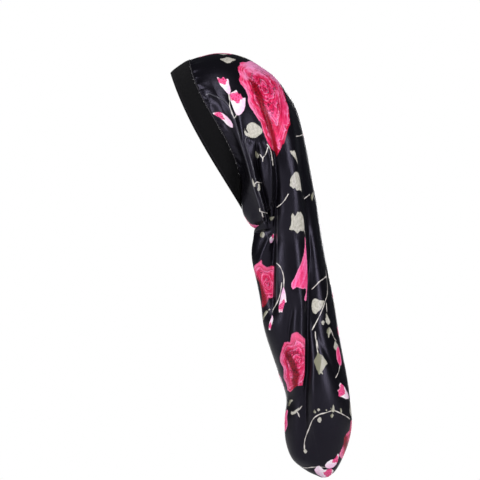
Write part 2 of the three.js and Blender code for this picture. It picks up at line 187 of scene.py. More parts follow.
def between(rows, at):
    """The rows of a table at any places between its rows, on smooth curves."""
    rows = np.asarray(rows, float)
    at = np.asarray(at, float)
    first = np.clip(np.floor(at).astype(int), 0, len(rows) - 2)
    f = (at - first)[..., None]
    a, b, c, d = (rows[np.clip(first + k, 0, len(rows) - 1)] for k in (-1, 0, 1, 2))
    bend, twist = 2 * a - 5 * b + 4 * c - d, 3 * b - a - 3 * c + d
    return 0.5 * (2 * b + (c - a) * f + bend * f**2 + twist * f**3)


def section_point(section, turn):
    """Points of half sections by the formula at the top: section holds the columns of SECTIONS, and
    turn is the angle round it. The lobe is a bell curve of the turn that pulls the front forward."""
    column = dict(zip(SECTION_NAMES, np.moveaxis(section, -1, 0)))
    back = np.stack([column["back_y"], column["back_z"]], -1)
    front = np.stack([column["front_y"], column["front_z"]], -1)
    reach = np.linalg.norm(back - front, axis=-1) / 2
    along = (back - front) / (2 * reach[..., None])
    across = np.stack([along[..., 1], -along[..., 0]], -1)
    c, s = np.cos(turn), np.maximum(np.sin(turn), 0)
    power = 1 + (column["front_power"] - 1) * smooth((1 - c) / 2)
    bend = (column["bow"] - column["skew"] * c) * s**2
    flat = (back + front) / 2 + (reach * c)[..., None] * along + bend[..., None] * across
    pull = np.exp(-(((turn - LOBE_TURN) / LOBE_SPREAD) ** 2)) * np.minimum(1, s / LOBE_FADE)
    lobe = column["lobe"] * pull
    return np.stack([column["half_width"] * s**power, flat[..., 0] - lobe, flat[..., 1]], -1)


def plain_point(row, turn):
    """The satin without its folds."""
    return section_point(between(SECTIONS, row), turn)


def unit(vectors):
    """Vectors divided by their lengths."""
    return vectors / np.maximum(np.linalg.norm(vectors, axis=-1, keepdims=True), 1e-9)


def outward(row, turn):
    """The way straight out of the plain satin, read just inside its seams."""
    i = np.minimum(LAST_ROW - SEAM_INSET, row)
    j = np.clip(turn, SEAM_INSET, math.pi - SEAM_INSET)
    along_row = plain_point(i + TINY, j) - plain_point(i - TINY, j)
    along_turn = plain_point(i, j + TINY) - plain_point(i, j - TINY)
    return unit(np.cross(along_turn, along_row))


print("crown at", plain_point(np.array(2.0), np.array(0.0)).round(1))

# %% [markdown]
# A fold's height at a point is the height of the nearest step of its route, and fades with the
# distance from that step, so a fold can be long, bent and deeper at one end.

# %% Fold heights
ROUTE_STEPS = 12        # steps from one row of a route to the next
FOLD_REACH = 5          # a fold counts up to this many widths away
LEAST_WIDTH = 1.2       # the narrowest side of a fold that the grid can carry, in millimetres


def route_place(route, flat):
    """For points of the profile: the nearest step of a route, the distance from it, the distance to
    its side, and how far along the route it is, from 0 to 1."""
    count = (len(route) - 1) * ROUTE_STEPS
    steps = between(route, np.arange(count + 1) / ROUTE_STEPS)
    heading = unit(np.gradient(steps[:, :2], axis=0))
    gap = flat[:, None] - steps[None, :, :2]
    nearest = np.argmin((gap**2).sum(-1), axis=1)
    rows = np.arange(len(flat))
    away = gap[rows, nearest]
    ahead = heading[nearest]
    side = away[:, 0] * ahead[:, 1] - away[:, 1] * ahead[:, 0]
    return steps[nearest], np.linalg.norm(away, axis=1), side, nearest / count


def fold_height(fold, flat):
    """The height of one fold at points of the profile: its route's height * exp(-fade), where fade is
    distance squared over width squared for a roll, and grows evenly with the distance for a crease."""
    height = np.zeros(len(flat))
    route = np.asarray(fold["route"], float)
    reach = FOLD_REACH * route[:, 3:].max()
    lowest, highest = route[:, :2].min(0) - reach, route[:, :2].max(0) + reach
    near = np.all((flat > lowest) & (flat < highest), axis=1)
    step, distance, side, _ = route_place(route, flat[near])
    width = np.maximum(LEAST_WIDTH, np.where(side > 0, step[:, 3], step[:, 4]))
    if fold["edge"]:
        fade = (np.hypot(distance, fold["edge"]) - fold["edge"]) / width
    else:
        fade = (distance / width) ** 2
    height[near] = step[:, 2] * np.exp(-fade)
    return height


fold_rows = np.concatenate([fold["route"] for fold in FOLDS.values()])
print("folds from", fold_rows[:, 2].min(), "to", fold_rows[:, 2].max(), "mm")

# %% [markdown]
# The elastic pulls the edge of the satin together, so small puckers fan out from it. They are waves
# round the panel: wide ones that die away down the crown, and fine ones at the edge itself. Folds
# and puckers end before the seams, where two thicknesses of cloth are held flat.

# %% Gathers, and the finished satin
SEAM_FADE = 0.3                     # the turn in which folds and puckers die away towards a seam
EDGE_HOLD, EDGE_RISE = 0.15, 1.2    # rows near the gathered edge: where folds start, and how slowly
WIDE_AT, FINE_AT = 0.55, 0.18       # rows from the gathered edge where its puckers are highest


def gathers(row, turn):
    """Small puckers that fan out from the gathered edge, finest at the edge itself."""
    wide = (row / WIDE_AT) ** 2 * np.exp(1 - (row / WIDE_AT) ** 2)
    fine = (row / FINE_AT) * np.exp(1 - row / FINE_AT)
    wave = np.sin(16 * turn + 0.5 * np.sin(3 * turn))
    small = np.sin(47 * turn + 1.7 * np.sin(5 * turn)) + 0.6 * np.sin(83 * turn + 2 * np.sin(7 * turn))
    return 0.6 * wide * wave + 0.4 * fine * small


def satin_points(row, turn, fold_shift, fold_share):
    """The finished satin: the plain form moved sideways by its folds and outward by its gathers."""
    plain = plain_point(row, turn)
    flat = plain.reshape(-1, 3)[:, 1:] - [fold_shift, 0]
    folds = sum(fold_height(fold, flat) for fold in FOLDS.values()).reshape(row.shape)
    seam_fade = smooth(np.minimum(turn, math.pi - turn) / SEAM_FADE)
    row_fade = np.clip((row - EDGE_HOLD) / EDGE_RISE, 0, 1) * np.clip(LAST_ROW - row, 0, 1)
    moved = plain + outward(row, turn) * (seam_fade * gathers(row, turn))[..., None]
    moved[..., 0] += seam_fade * fold_share * row_fade * folds
    return moved


print("puckers at the edge:", gathers(np.full(3, FINE_AT), np.array([0.5, 1.0, 1.5])).round(2), "mm")

# %% [markdown]
# The rows lie closer at the gathered edge. Both panels use the same grid, and the right one is the
# mirror image of it with its folds a little further back and a little shallower.

# %% Panel grids
ROWS, COLUMNS = 281, 173
CROWDING = 0.35         # how much closer the rows lie at the gathered edge
row_share = np.linspace(0, 1, ROWS)
row_line = LAST_ROW * (CROWDING * row_share**2 + (1 - CROWDING) * row_share)
turn_line = np.linspace(0, math.pi, COLUMNS)
row_grid, turn_grid = np.meshgrid(row_line, turn_line, indexing="ij")
PANELS = {
    "satin_panel_left": {"sign": 1, "fold_shift": 0, "fold_share": 1},
    "satin_panel_right": {"sign": -1, "fold_shift": 3, "fold_share": 0.85},
}
plain_grid = plain_point(row_grid, turn_grid)
panel_points = {
    name: satin_points(row_grid, turn_grid, panel["fold_shift"], panel["fold_share"])
    for name, panel in PANELS.items()
}
print("panel points:", ROWS * COLUMNS)

# %% [markdown]
# ## The cloth laid flat
# The print belongs to the cloth, so every point gets a flat place in metres: down is measured along
# the middle of the panel's side, and across is measured round the section from there. Two pleats
# hide a strip of cloth each, which is added to across in the width of a crease.

# %% Cloth coordinates
PLEAT_TAPER, PLEAT_EDGE = 0.2, 2.5      # share of a route at each end, and millimetres across a crease
PLEATS = {
    "main": dict(hidden=24.0, route=[
        (109.1, 40), (109.1, -9.6), (114.9, -42.9), (119.4, -81.3), (122.5, -123.8), (124.8, -174.8),
        (122, -236.3), (121.3, -287.5), (119.8, -305), (121, -361)]),
    "nape": dict(hidden=17.0, route=[
        (84, -60), (85, -81), (84.5, -100), (83, -124), (82.5, -161), (81, -199), (79, -226)]),
}


def plain_places():
    """Flat places (across, down) in metres on the satin without its folds."""
    step_across = np.linalg.norm(np.diff(plain_grid, axis=1), axis=-1)
    across = np.concatenate([np.zeros((ROWS, 1)), np.cumsum(step_across, axis=1)], axis=1)
    middle = COLUMNS // 2
    step_down = np.linalg.norm(np.diff(plain_grid[:, middle], axis=0), axis=-1)
    down = np.concatenate([[0], np.cumsum(step_down)])[:, None]
    return np.stack(np.broadcast_arrays(across - across[:, middle:middle + 1], down), -1) * MM


def cloth_places(points):
    """The same for a folded panel, with the cloth that its pleats hide."""
    across, down = np.moveaxis(plain_cloth, -1, 0)
    flat = points.reshape(-1, 3)[:, 1:]
    for pleat in PLEATS.values():
        _, _, side, part = route_place(pleat["route"], flat)
        taper = smooth(part / PLEAT_TAPER) * smooth((1 - part) / PLEAT_TAPER)
        hidden = MM * pleat["hidden"] * taper * smooth(0.5 + side / PLEAT_EDGE)
        across = across + hidden.reshape(across.shape)
    return np.stack([across, down], -1)


plain_cloth = plain_places()
cloth = {name: cloth_places(points) for name, points in panel_points.items()}
print("cloth spans", np.ptp(cloth["satin_panel_left"].reshape(-1, 2), axis=0).round(3), "m")

# %% [markdown]
# ## The print
# The satin was printed before it was sewn, so its roses and leaves lie on the cloth and not on the
# folds. A picture could be wrapped round it, but outlines stay sharp at any size and need no file.
# Each motif is an outline in steps of the photograph's grid. The nearest point of the left panel gives
# its flat place, and how the flat cloth and that grid turn into each other there shapes it. A row with
# at in place of an outline repeats another motif at a row and turn of the panel, where the photograph
# doesn't reach. On the right panel the same cloth is used turned half round, and the repeats with
# right in place of at are only there.

# %% The motifs
PRINT = {
    "rose": [
        dict(core=(264, 89), bent=True, outline=[
            (240, 62.5), (243, 61.8), (246.5, 63), (249, 62), (253, 60), (262, 60), (272, 67),
            (279, 78), (281, 84), (283.5, 92), (286, 102), (288.5, 108), (289.5, 118), (291.5, 125),
            (288.5, 127), (287, 133), (285.5, 140), (284, 144.5), (282.3, 143.5), (281, 149),
            (278.5, 154), (276.8, 157), (275.5, 152), (273, 150), (270, 146.5), (267.5, 141.5),
            (265.5, 137), (263, 130), (261, 122), (257.5, 118), (253.5, 111.5), (249.5, 106),
            (247.7, 101.5), (248.3, 96.5), (246, 91), (243.5, 87.3), (240.5, 84), (238.8, 80),
            (240, 76), (238.3, 71), (238, 67), (240, 65.5)]),
        dict(core=(266, 284), outline=[
            (260.5, 256.5), (261.2, 261), (262.5, 263), (265.5, 266), (268, 266.3), (270, 264.8),
            (273.5, 265.5), (278, 266), (278, 298), (274, 297.3), (271, 298.3), (269.3, 297.5),
            (269, 302), (267.8, 305.5), (265, 306.8), (262, 306), (261.3, 300), (260.3, 294),
            (259.8, 288), (258.3, 282), (255, 279.5), (252, 276), (250, 270), (253, 263), (256.5, 261),
            (259, 258.5)]),
        dict(core=(298.5, 360), outline=[
            (291, 334), (294, 332.3), (296, 331.8), (298.5, 334), (301, 335.8), (303.5, 338.6),
            (306, 337), (310, 340), (310, 386), (303.5, 386.5), (300, 389.8), (297, 392.2), (294, 393),
            (291.3, 391.3), (289.5, 391.5), (288, 388), (286, 383.5), (283, 381.8), (280, 377.5),
            (278.3, 371), (280.2, 368.2), (277.8, 365.5), (275.8, 361), (276.8, 357), (279.8, 351),
            (281.8, 346), (283.8, 342.2), (287, 341.5), (289.8, 342.3), (290.3, 338)]),
        dict(core=(351, 440), outline=[
            (349.5, 420), (354, 422), (361, 430), (360, 446), (350, 460), (342, 459), (338.5, 455),
            (340.5, 449), (342, 443), (342, 437.5), (344.3, 433), (348, 430), (348.8, 425)]),
        dict(like=2, right=(2.6, 0.75), angle=35), dict(like=1, right=(4.6, 2.45), angle=200),
        dict(like=2, right=(8.4, 0.55), angle=170)],
    "petal": [
        dict(outline=[
            (306.8, 241), (310, 243), (312, 262), (312, 284), (309, 299), (305, 303), (304.4, 300),
            (306, 293.5), (305.8, 289.3), (303, 290.3), (300, 289.3), (296.5, 289), (294, 291),
            (292.6, 291), (291.8, 287.5), (292.3, 284), (295.2, 278.5), (298, 271), (301, 265),
            (304, 256.5), (305.7, 249)]),
        dict(outline=[
            (198, 57.6), (206, 56.2), (213, 55.8), (221, 55.4), (227, 55.8), (231, 55.5), (230, 50),
            (212, 47), (199, 52)]),
        dict(outline=[
            (244.8, 215.5), (248, 220), (251.4, 222.8), (254.6, 225.4), (258.4, 228.6), (256, 234),
            (248, 231), (242, 223)]),
        dict(outline=[
            (335.5, 350), (337, 346.5), (339.5, 346), (341.3, 352), (342.4, 360), (341.6, 363.8),
            (339.6, 365.3), (337, 361.5), (335.8, 356)]),
        dict(outline=[
            (285.5, 410.5), (288.2, 411.5), (288.2, 417), (289.3, 425.5), (287.6, 429.5), (285, 432.5),
            (281, 428), (282, 416)])],
    "bud": [
        dict(angle=-28, outline=[
            (216.8, 76.8), (218.6, 77.3), (220, 78.8), (221.5, 78.8), (222.6, 76.8), (224, 77.5),
            (225, 79.8), (227, 78.6), (228.3, 79.4), (229, 84), (230.6, 88.5), (231, 91.5),
            (229.8, 94.8), (228.3, 94.5), (226, 92), (223, 88.5), (220.3, 85.5), (218.8, 82)]),
        dict(angle=-14, outline=[
            (230.7, 92.6), (234, 91), (235.8, 89.2), (237, 91.5), (238.3, 94.3), (240, 93), (241, 95.8),
            (242.6, 98.3), (245, 96.8), (245.3, 101), (245.4, 106), (244.2, 110.5), (241.5, 114.3),
            (238.5, 116.3), (235.4, 115.8), (234, 112), (232.3, 107), (230.8, 101), (230.2, 96)]),
        dict(angle=190, outline=[
            (283.5, 286.5), (284.7, 290), (285.7, 295), (286, 299.5), (286.6, 303), (284.8, 302.3),
            (284, 305.5), (283.2, 309), (282.6, 312.8), (281, 312), (279.2, 312.8), (278.4, 308),
            (279, 303), (280, 299), (281, 294), (282.3, 289.5)]),
        dict(angle=195, outline=[
            (271, 312.5), (272.6, 315.5), (273, 319), (271.6, 324), (270, 329.3), (268, 328.8),
            (268.4, 325), (269.8, 319)]),
        dict(angle=-70, outline=[
            (340, 382.8), (342, 384.3), (345, 387), (347.5, 391), (351, 394.5), (351.5, 399),
            (346, 399.3), (341.5, 397.2), (337.6, 397.8), (339.6, 395), (337.6, 391), (339.8, 388.6),
            (338.8, 385.5)]),
        dict(angle=50, outline=[
            (337.8, 453.5), (339.3, 457), (338.7, 461), (336.5, 464.8), (333, 467.8), (329, 469.3),
            (325.8, 468.3), (324.7, 465.6), (327, 462.3), (330.5, 459.8), (334.5, 459)]),
        dict(angle=100, outline=[
            (314.2, 471), (317, 468.3), (320, 467.8), (324, 470.5), (328, 470), (332, 469.3),
            (335, 471), (333.8, 474), (331.5, 479), (327, 480), (322, 478), (317, 475)]),
        dict(angle=30, outline=[
            (270, 242.8), (269.2, 240), (270, 237.3), (272, 235.3), (273, 233.2), (275.3, 233.8),
            (275.8, 236), (273.8, 238.6), (272.6, 241.6), (271, 243.3)]),
        dict(angle=-55, outline=[
            (211.7, 111.8), (216, 111.2), (219.5, 111.3), (223, 113.3), (227, 116.8), (230.7, 120.3),
            (233.8, 125), (234, 129.3), (231, 128.8), (227.5, 126.8), (223.5, 121.8), (219.8, 118.2),
            (216, 115.6), (213, 113.6)]),
        dict(like=0, at=(3.4, 3.08), angle=40), dict(like=1, at=(9.4, 0.08), angle=150),
        dict(like=1, at=(11.6, 3.08), angle=10), dict(like=0, at=(17.2, 0.08), angle=90),
        dict(like=1, at=(19.4, 3.08), angle=190), dict(like=0, at=(15.6, 0.08), angle=10),
        dict(like=1, right=(5.2, 0.7), angle=60), dict(like=0, right=(2.4, 2.3), angle=300),
        dict(like=1, right=(7.4, 2.5), angle=20)],
    "blossom": [
        dict(outline=[
            (221, 60.3), (219.6, 58.6), (223.5, 58), (226, 56.6), (229, 56.8), (231.5, 57.8),
            (235.4, 59), (234, 60.6), (231.5, 61.7), (230, 63.3), (227, 63.8), (225, 63), (223, 61.6)]),
        dict(outline=[
            (243.6, 128.8), (246, 127), (247, 124), (249, 121.4), (252, 120.3), (255, 121.3),
            (257.2, 123.8), (260.3, 127), (261.9, 131), (261.3, 135), (258.6, 137.2), (257, 139.8),
            (254, 140.4), (250, 139.8), (247.5, 138.2), (244.8, 137), (243.6, 134), (243.4, 131.2),
            (245, 130.6), (247.2, 134.4), (247.9, 134), (246.4, 129.8)]),
        dict(outline=[
            (289.5, 147.6), (292, 149), (295.5, 148.6), (299, 150), (300, 157), (298.5, 161.6),
            (295.3, 161.3), (293, 156.5), (290.8, 152)]),
        dict(outline=[
            (297, 172), (299.3, 173.2), (302, 178), (303, 184), (303, 190.3), (299.5, 190),
            (297, 190.8), (295.5, 188), (293.5, 188.8), (291.8, 186.6), (289.6, 184.8), (290.4, 182),
            (289.8, 179.3), (291.3, 176.3), (293.3, 174.3), (295, 172.5)]),
        dict(outline=[
            (291.3, 215), (293, 212.6), (294.2, 214.3), (295.6, 216), (297, 214), (298.5, 211.6),
            (300, 212.8), (301.5, 212), (304, 216), (305, 222), (305, 228), (303, 230.3),
            (300.5, 230.5), (298, 233.6), (296, 231.8), (294.5, 230.4), (292.3, 230.4), (289.7, 229.2),
            (290.2, 227.2), (291.3, 224), (291.6, 219)]),
        dict(outline=[
            (313.4, 300.3), (316, 299.2), (319, 300.8), (323, 301.2), (325.8, 301.2), (324.2, 304),
            (322.6, 307.6), (321, 310.2), (318, 312.7), (316, 315), (313.8, 313.3), (312.6, 309),
            (312.5, 304)]),
        dict(outline=[
            (326, 312.5), (327.2, 312.5), (328.6, 316), (330.8, 319.5), (330.2, 322.8), (328, 323.4),
            (326, 320.8), (325, 320.2), (324.5, 323.3), (323, 323.8), (321.7, 321.6), (323, 319.2),
            (325, 318.6), (326.2, 317)]),
        dict(outline=[
            (334, 348.5), (333.4, 345), (334.3, 341), (336, 339.5), (337.3, 343.3), (338.6, 342),
            (339.4, 347), (337.6, 349.5)]),
        dict(outline=[
            (288.7, 411.6), (291, 410.2), (293, 410.8), (295, 409.3), (297, 407.3), (298.8, 406.6),
            (298, 409.2), (297, 411.2), (295, 413.2), (292, 414.2), (290.3, 412.7)]),
        dict(outline=[(316.8, 410.8), (318.4, 409), (320.1, 410.7), (318.4, 412.5)]),
        dict(outline=[
            (317.3, 419), (319, 416.4), (321.2, 417), (321.7, 419.6), (320.3, 421.9), (318.3, 421.4)]),
        dict(outline=[
            (303, 450.6), (304.3, 448.6), (306.3, 449.6), (307, 451.8), (305.2, 453.4)]),
        dict(outline=[
            (252, 178), (253.6, 181), (255.6, 185.8), (253.9, 186.6), (252.3, 182.5)]),
        dict(outline=[
            (257.6, 183.8), (259.5, 184.2), (260, 190), (258.6, 191.8), (257, 189.6), (258.1, 187)]),
        dict(like=1, at=(4.2, 3.08), angle=30), dict(like=3, at=(7.2, 0.08), angle=120),
        dict(like=4, at=(9.8, 3.08), angle=80), dict(like=1, at=(11.2, 0.08), angle=200),
        dict(like=5, at=(13, 3.08), angle=0), dict(like=4, at=(15.2, 0.08), angle=300),
        dict(like=3, at=(17.4, 3.08), angle=10), dict(like=1, at=(20.4, 0.08), angle=60),
        dict(like=5, at=(2.6, 0.08), angle=60), dict(like=3, at=(1.4, 3.08), angle=80),
        dict(like=4, right=(0.9, 1.05), angle=20), dict(like=3, right=(6.6, 0.5), angle=200),
        dict(like=1, right=(3.3, 2.75), angle=140)],
    "leaf": [
        dict(outline=[
            (317.3, 351), (319.5, 353.3), (322, 354.3), (324, 357.3), (326, 359.8), (328, 362.5),
            (325.6, 364.6), (324.2, 367.6), (322, 370.2), (323, 374), (320.5, 372.3), (319, 374.4),
            (317.9, 371), (316.3, 368), (315.3, 364), (313.7, 361), (314.6, 358), (316.4, 355.3)]),
        dict(outline=[
            (326.7, 330), (327.8, 327.8), (329.6, 326.8), (331.3, 330), (331, 332.2), (329.6, 334.2),
            (328.9, 337.5), (327.8, 337), (327.6, 333.6), (326, 331.6)]),
        dict(outline=[
            (266.6, 309), (267.1, 312), (266, 317), (264.7, 321.8), (263.4, 318), (264, 313)]),
        dict(outline=[
            (309, 196.3), (311.4, 193.3), (315, 191), (315.3, 194), (312.7, 198.2), (310.4, 200.6),
            (309.8, 198)]),
        dict(outline=[
            (259.7, 234), (260.9, 231.7), (263.2, 231.7), (264.3, 233.5), (263.5, 236.8),
            (261.4, 237.4), (259.9, 236.2)]),
        dict(outline=[
            (269.7, 217.3), (274.9, 216.7), (273.2, 219.2), (271, 221), (269.8, 219.8)]),
        dict(outline=[
            (287.2, 404.3), (288.7, 401.5), (288.8, 399.8), (293.4, 399.2), (291.7, 401.7),
            (290, 404.3), (288.4, 406.6)]),
        dict(outline=[
            (255.5, 149.5), (258, 152.6), (259.4, 157), (257.6, 159.6), (255.8, 156)]),
        dict(outline=[
            (313, 411.6), (314.5, 409.8), (316, 411.5), (317.2, 415), (314.7, 413.4)]),
        dict(outline=[(325.2, 406.8), (326.8, 407.6), (328.2, 411.3), (326.4, 410)]),
        dict(outline=[
            (330.6, 405.8), (332.3, 408.3), (333.6, 403.5), (334.7, 407.6), (334.9, 411.8),
            (331.7, 411)]),
        dict(outline=[(340, 407.6), (341.7, 408), (342.1, 411.8), (340.6, 412.8)]),
        dict(outline=[
            (330.2, 415.2), (332, 412.6), (333.7, 413.8), (332.7, 416.7), (330.8, 417.4)]),
        dict(like=0, at=(6.1, 3.08), angle=20), dict(like=0, at=(10.6, 0.08), angle=100),
        dict(like=0, at=(14.4, 3.08), angle=200), dict(like=0, at=(18.2, 3.08), angle=20),
        dict(like=0, at=(16.3, 0.08), angle=330), dict(like=1, at=(3.6, 0.08), angle=60),
        dict(like=0, right=(4.2, 1.15), angle=120), dict(like=0, right=(1.2, 1.9), angle=40),
        dict(like=0, right=(6.2, 2.2), angle=260)],
}
STEMS = {
    "buds": [(229, 94), (229.6, 100), (230, 107), (234, 117)],
    "low_bud": [(236.5, 115.5), (234.5, 118)],
    "arc": [(277, 207), (281, 204), (285, 199.5), (287.7, 194.7)],
    "back": [(296, 136.5), (300, 135.8), (306, 136)],
    "under_rose": [(267.5, 144.6), (270.6, 152), (272.9, 165)],
    "long_bud": [(276.6, 264), (281, 268), (283.5, 277), (283.6, 287)],
    "small_bud": [(282, 283), (280, 295), (276, 304.5), (272, 312)],
    "tulip": [(303, 229), (305, 234), (306, 243)],
    "cross": [(326.6, 275), (320, 281), (312, 289.7)],
    "right": [(325.7, 270), (327.5, 285), (327, 297), (325, 302), (319, 316), (312, 328.6)],
    "heart": [(326.5, 303), (326.8, 312)],
    "pendant": [(331, 331), (334, 336.5), (336, 341)],
    "leaf": [(315.5, 333), (316, 340), (317, 347), (318, 352)],
    "leaf_side": [(316.4, 341), (318.4, 346.5)],
    "hanging": [(340, 365), (338.3, 371), (336, 377)],
    "twig": [(262.4, 161), (263, 157.5), (266, 154), (267.3, 148)],
    "twig_fork": [(262.4, 157.5), (260.5, 154.5)],
    "knot": [(254.5, 184.5), (256.5, 182.5), (261, 182.5)],
    "low_knot": [(259.8, 209), (262, 212.3), (267, 213.5)],
    "low_knot_end": [(262, 212.3), (263, 217)],
    "small_leaf": [(305, 199), (309.5, 195)],
    "side_twig": [(297.5, 410), (301.5, 407)],
    "side_twig_low": [(297, 411), (299.3, 416)],
    "berries": [(349.5, 420), (341, 413.5), (333.7, 411.3), (326, 411.9), (318.3, 415), (312.5, 420),
                (308.5, 430), (305, 440), (304.5, 450)],
    "end": [(297, 465), (305, 467.5), (315, 467.5), (325, 467)],
}
print(sum(len(rows) for rows in PRINT.values()), "motifs and", len(STEMS), "stems")

# %% [markdown]
# A motif is drawn as the photograph shows it, from the side, and has to be laid on the cloth. The
# slopes of the form say how a step on the flat cloth shows in the photograph's grid. Their matrix
# splits into a turn and two stretches, and a stretch is never taken to be less than LEAST_SIZE of the
# true size, so that a motif at the rim of the view isn't drawn out without end.

# %% From the photograph's grid to the flat cloth
LEAST_SIZE = 0.55
NEARER_SIDE = 0.02      # of two points seen at the same place, the one nearer to the camera counts
NEIGHBOURS = (1, 2, 3, 2, 1)        # how much the points beside a point count in its average
main_points = panel_points["satin_panel_left"]
main_cloth = cloth["satin_panel_left"]


def seen(points):
    """Where points of the object are in the photograph's grid."""
    return np.stack([PHOTO_ORIGIN[0] + points[..., 1] / PHOTO_SCALE,
                     PHOTO_ORIGIN[1] - points[..., 2] / PHOTO_SCALE], -1)


seen_at = seen(main_points)


def cloth_at(x, y):
    """The grid point of the left panel that the photograph's grid shows at x, y."""
    gap = np.hypot(seen_at[..., 0] - x, seen_at[..., 1] - y)
    gap = gap - NEARER_SIDE * main_points[..., 0]
    return np.unravel_index(np.argmin(gap), gap.shape)


def slopes(grid):
    """How a grid of vectors changes down the rows and round the columns, as matrices."""
    return np.stack([np.gradient(grid, axis=0), np.gradient(grid, axis=1)], -1)


form_slopes = slopes(plain_grid * MM) @ np.linalg.inv(slopes(plain_cloth))
sideways = np.array([[0, 1, 0], [0, 0, -1]]) / (PHOTO_SCALE * MM)


def rotation(degrees):
    """The matrix that turns a flat vector."""
    turned = math.radians(degrees)
    return np.array([[math.cos(turned), -math.sin(turned)], [math.sin(turned), math.cos(turned)]])


def seen_frame(place):
    """(flat place, matrix from flat metres to steps of the photograph's grid) where it shows place."""
    at = cloth_at(*place)
    tangents, stretch = np.linalg.qr(form_slopes[at])
    left, sizes, right = np.linalg.svd(sideways @ tangents)
    full = 1 / (PHOTO_SCALE * MM)
    return main_cloth[at], left @ np.diag(np.maximum(sizes, LEAST_SIZE * full)) @ right @ stretch


def bent(outline, middle, flat, matrix):
    """An outline in its motif's own steps, moved to where the cloth shows each of its points. The moves
    are averaged over neighbouring points."""
    shown = np.array([main_cloth[cloth_at(*point)] for point in outline + middle])
    shift = (shown - flat) @ matrix.T - outline
    moves = sum(share * np.roll(shift, k - 2, 0) for k, share in enumerate(NEIGHBOURS))
    return outline + moves / sum(NEIGHBOURS)


print("the photograph's middle shows the cloth at", main_cloth[cloth_at(240, 240)].round(3), "m")

# %% [markdown]
# A printed cloth repeats its motifs, so where the photograph doesn't reach, the same ones come again in
# true size, at other angles.

# %% Repeats
def repeat_frame(row, turn):
    """(flat place, matrix) as from seen_frame, for a motif in true size at a row and a turn."""
    at = np.argmin(np.abs(row_line - row)), np.argmin(np.abs(turn_line - turn))
    true_size = np.linalg.qr(form_slopes[at])[1]
    return main_cloth[at], true_size / (PHOTO_SCALE * MM)


def turned_round(places):
    """Flat places of the left panel's cloth when it is turned half round."""
    whole = main_cloth.reshape(-1, 2)
    return whole.max(0) + whole.min(0) - places


print("the cloth's middle is", (turned_round(np.zeros(2)) / 2).round(3), "m from where it is measured")

# %% [markdown]
# Every corner of the mesh gets its place in the nearest motif and how far it is inside that motif's
# outline. Such a distance changes evenly over a face, so the outline stays sharp when the shader
# cuts it at zero, although the mesh is much coarser than the print.

# %% Places in the motifs
FAR_OUT = -9.0          # the distance inside an outline where there is no motif near
ROUNDED = ("petal", "blossom", "leaf")
MOTIF_MARGIN = 4        # steps round a motif in which its distance is worked out


def rounded(outline):
    """A closed smooth curve through the points of an outline."""
    wrapped = np.concatenate([outline[-1:], outline, outline[:2]])
    return between(wrapped, 1 + np.arange(3 * len(outline)) / 3)


def inside_distance(points, outline):
    """How far points are inside a closed outline, negative where they are outside it."""
    edge = np.roll(outline, -1, 0) - outline
    lean = points[..., None, :] - outline
    share = np.clip((lean * edge).sum(-1) / (edge**2).sum(-1), 0, 1)
    away = np.linalg.norm(lean - share[..., None] * edge, axis=-1).min(-1)
    crosses = (lean[..., 1] < 0) != (lean[..., 1] < edge[:, 1])
    slant = edge[:, 0] / np.where(np.abs(edge[:, 1]) < 1e-9, 1e-9, edge[:, 1])
    right_of = lean[..., 0] < lean[..., 1] * slant
    return np.where((crosses & right_of).sum(-1) % 2 == 1, away, -away)


def corner_values(grid):
    """The values of a grid at the four corners of each of its faces."""
    return np.stack([grid[:-1, :-1], grid[:-1, 1:], grid[1:, 1:], grid[1:, :-1]], 2)


def motif_corners(kind, corners, right):
    """For each face corner: its place in the face's nearest motif, and how far it is inside."""
    best = np.full(corners.shape[:2], FAR_OUT)
    result = np.full(corners.shape[:3] + (3,), FAR_OUT)
    for row in PRINT[kind]:
        source = row if "outline" in row else PRINT[kind][row["like"]]
        outline = np.array(source["outline"], float)
        middle = np.array(source.get("core", (outline.min(0) + outline.max(0)) / 2))
        outline = (rounded(outline) if kind in ROUNDED else outline) - middle
        upright = rotation(-source.get("angle", 0))
        if row is source:
            flat, matrix = seen_frame(middle)
            outline = bent(outline, middle, flat, matrix) if "bent" in row else outline
        elif ("right" in row) and not right:
            continue
        else:
            flat, matrix = repeat_frame(*row.get("at", row.get("right")))
            matrix = rotation(row["angle"]) @ matrix
            flat = turned_round(flat) if "right" in row else flat
        places = (corners - flat) @ matrix.T
        centre = places.mean(2)
        low, high = outline.min(0) - MOTIF_MARGIN, outline.max(0) + MOTIF_MARGIN
        reach = np.flatnonzero(np.all((centre > low) & (centre < high), axis=-1))
        places = places.reshape(-1, 4, 2)[reach]
        inside = inside_distance(places, outline)
        own = places @ upright.T
        if kind == "bud":
            turned = outline @ upright.T
            low, high = turned.min(0), turned.max(0)
            own = (2 * own - low - high) / (high - low)
        depth = inside.mean(-1)
        nearer = depth > best.reshape(-1)[reach]
        best.reshape(-1)[reach[nearer]] = depth[nearer]
        result.reshape(-1, 4, 3)[reach[nearer]] = np.concatenate([own, inside[..., None]], -1)[nearer]
    return result


print("motifs are placed on", (ROWS - 1) * (COLUMNS - 1), "faces of each panel")

# %% [markdown]
# The thin stems are lines and not outlines. A face corner gets how far along and across the nearest
# stem it is, from which the shader draws an even thread, however coarse the mesh is.

# %% Places along the stems
STEM_MARGIN = 0.01      # metres round a stem in which its distance is worked out
STEM_STEPS = 80


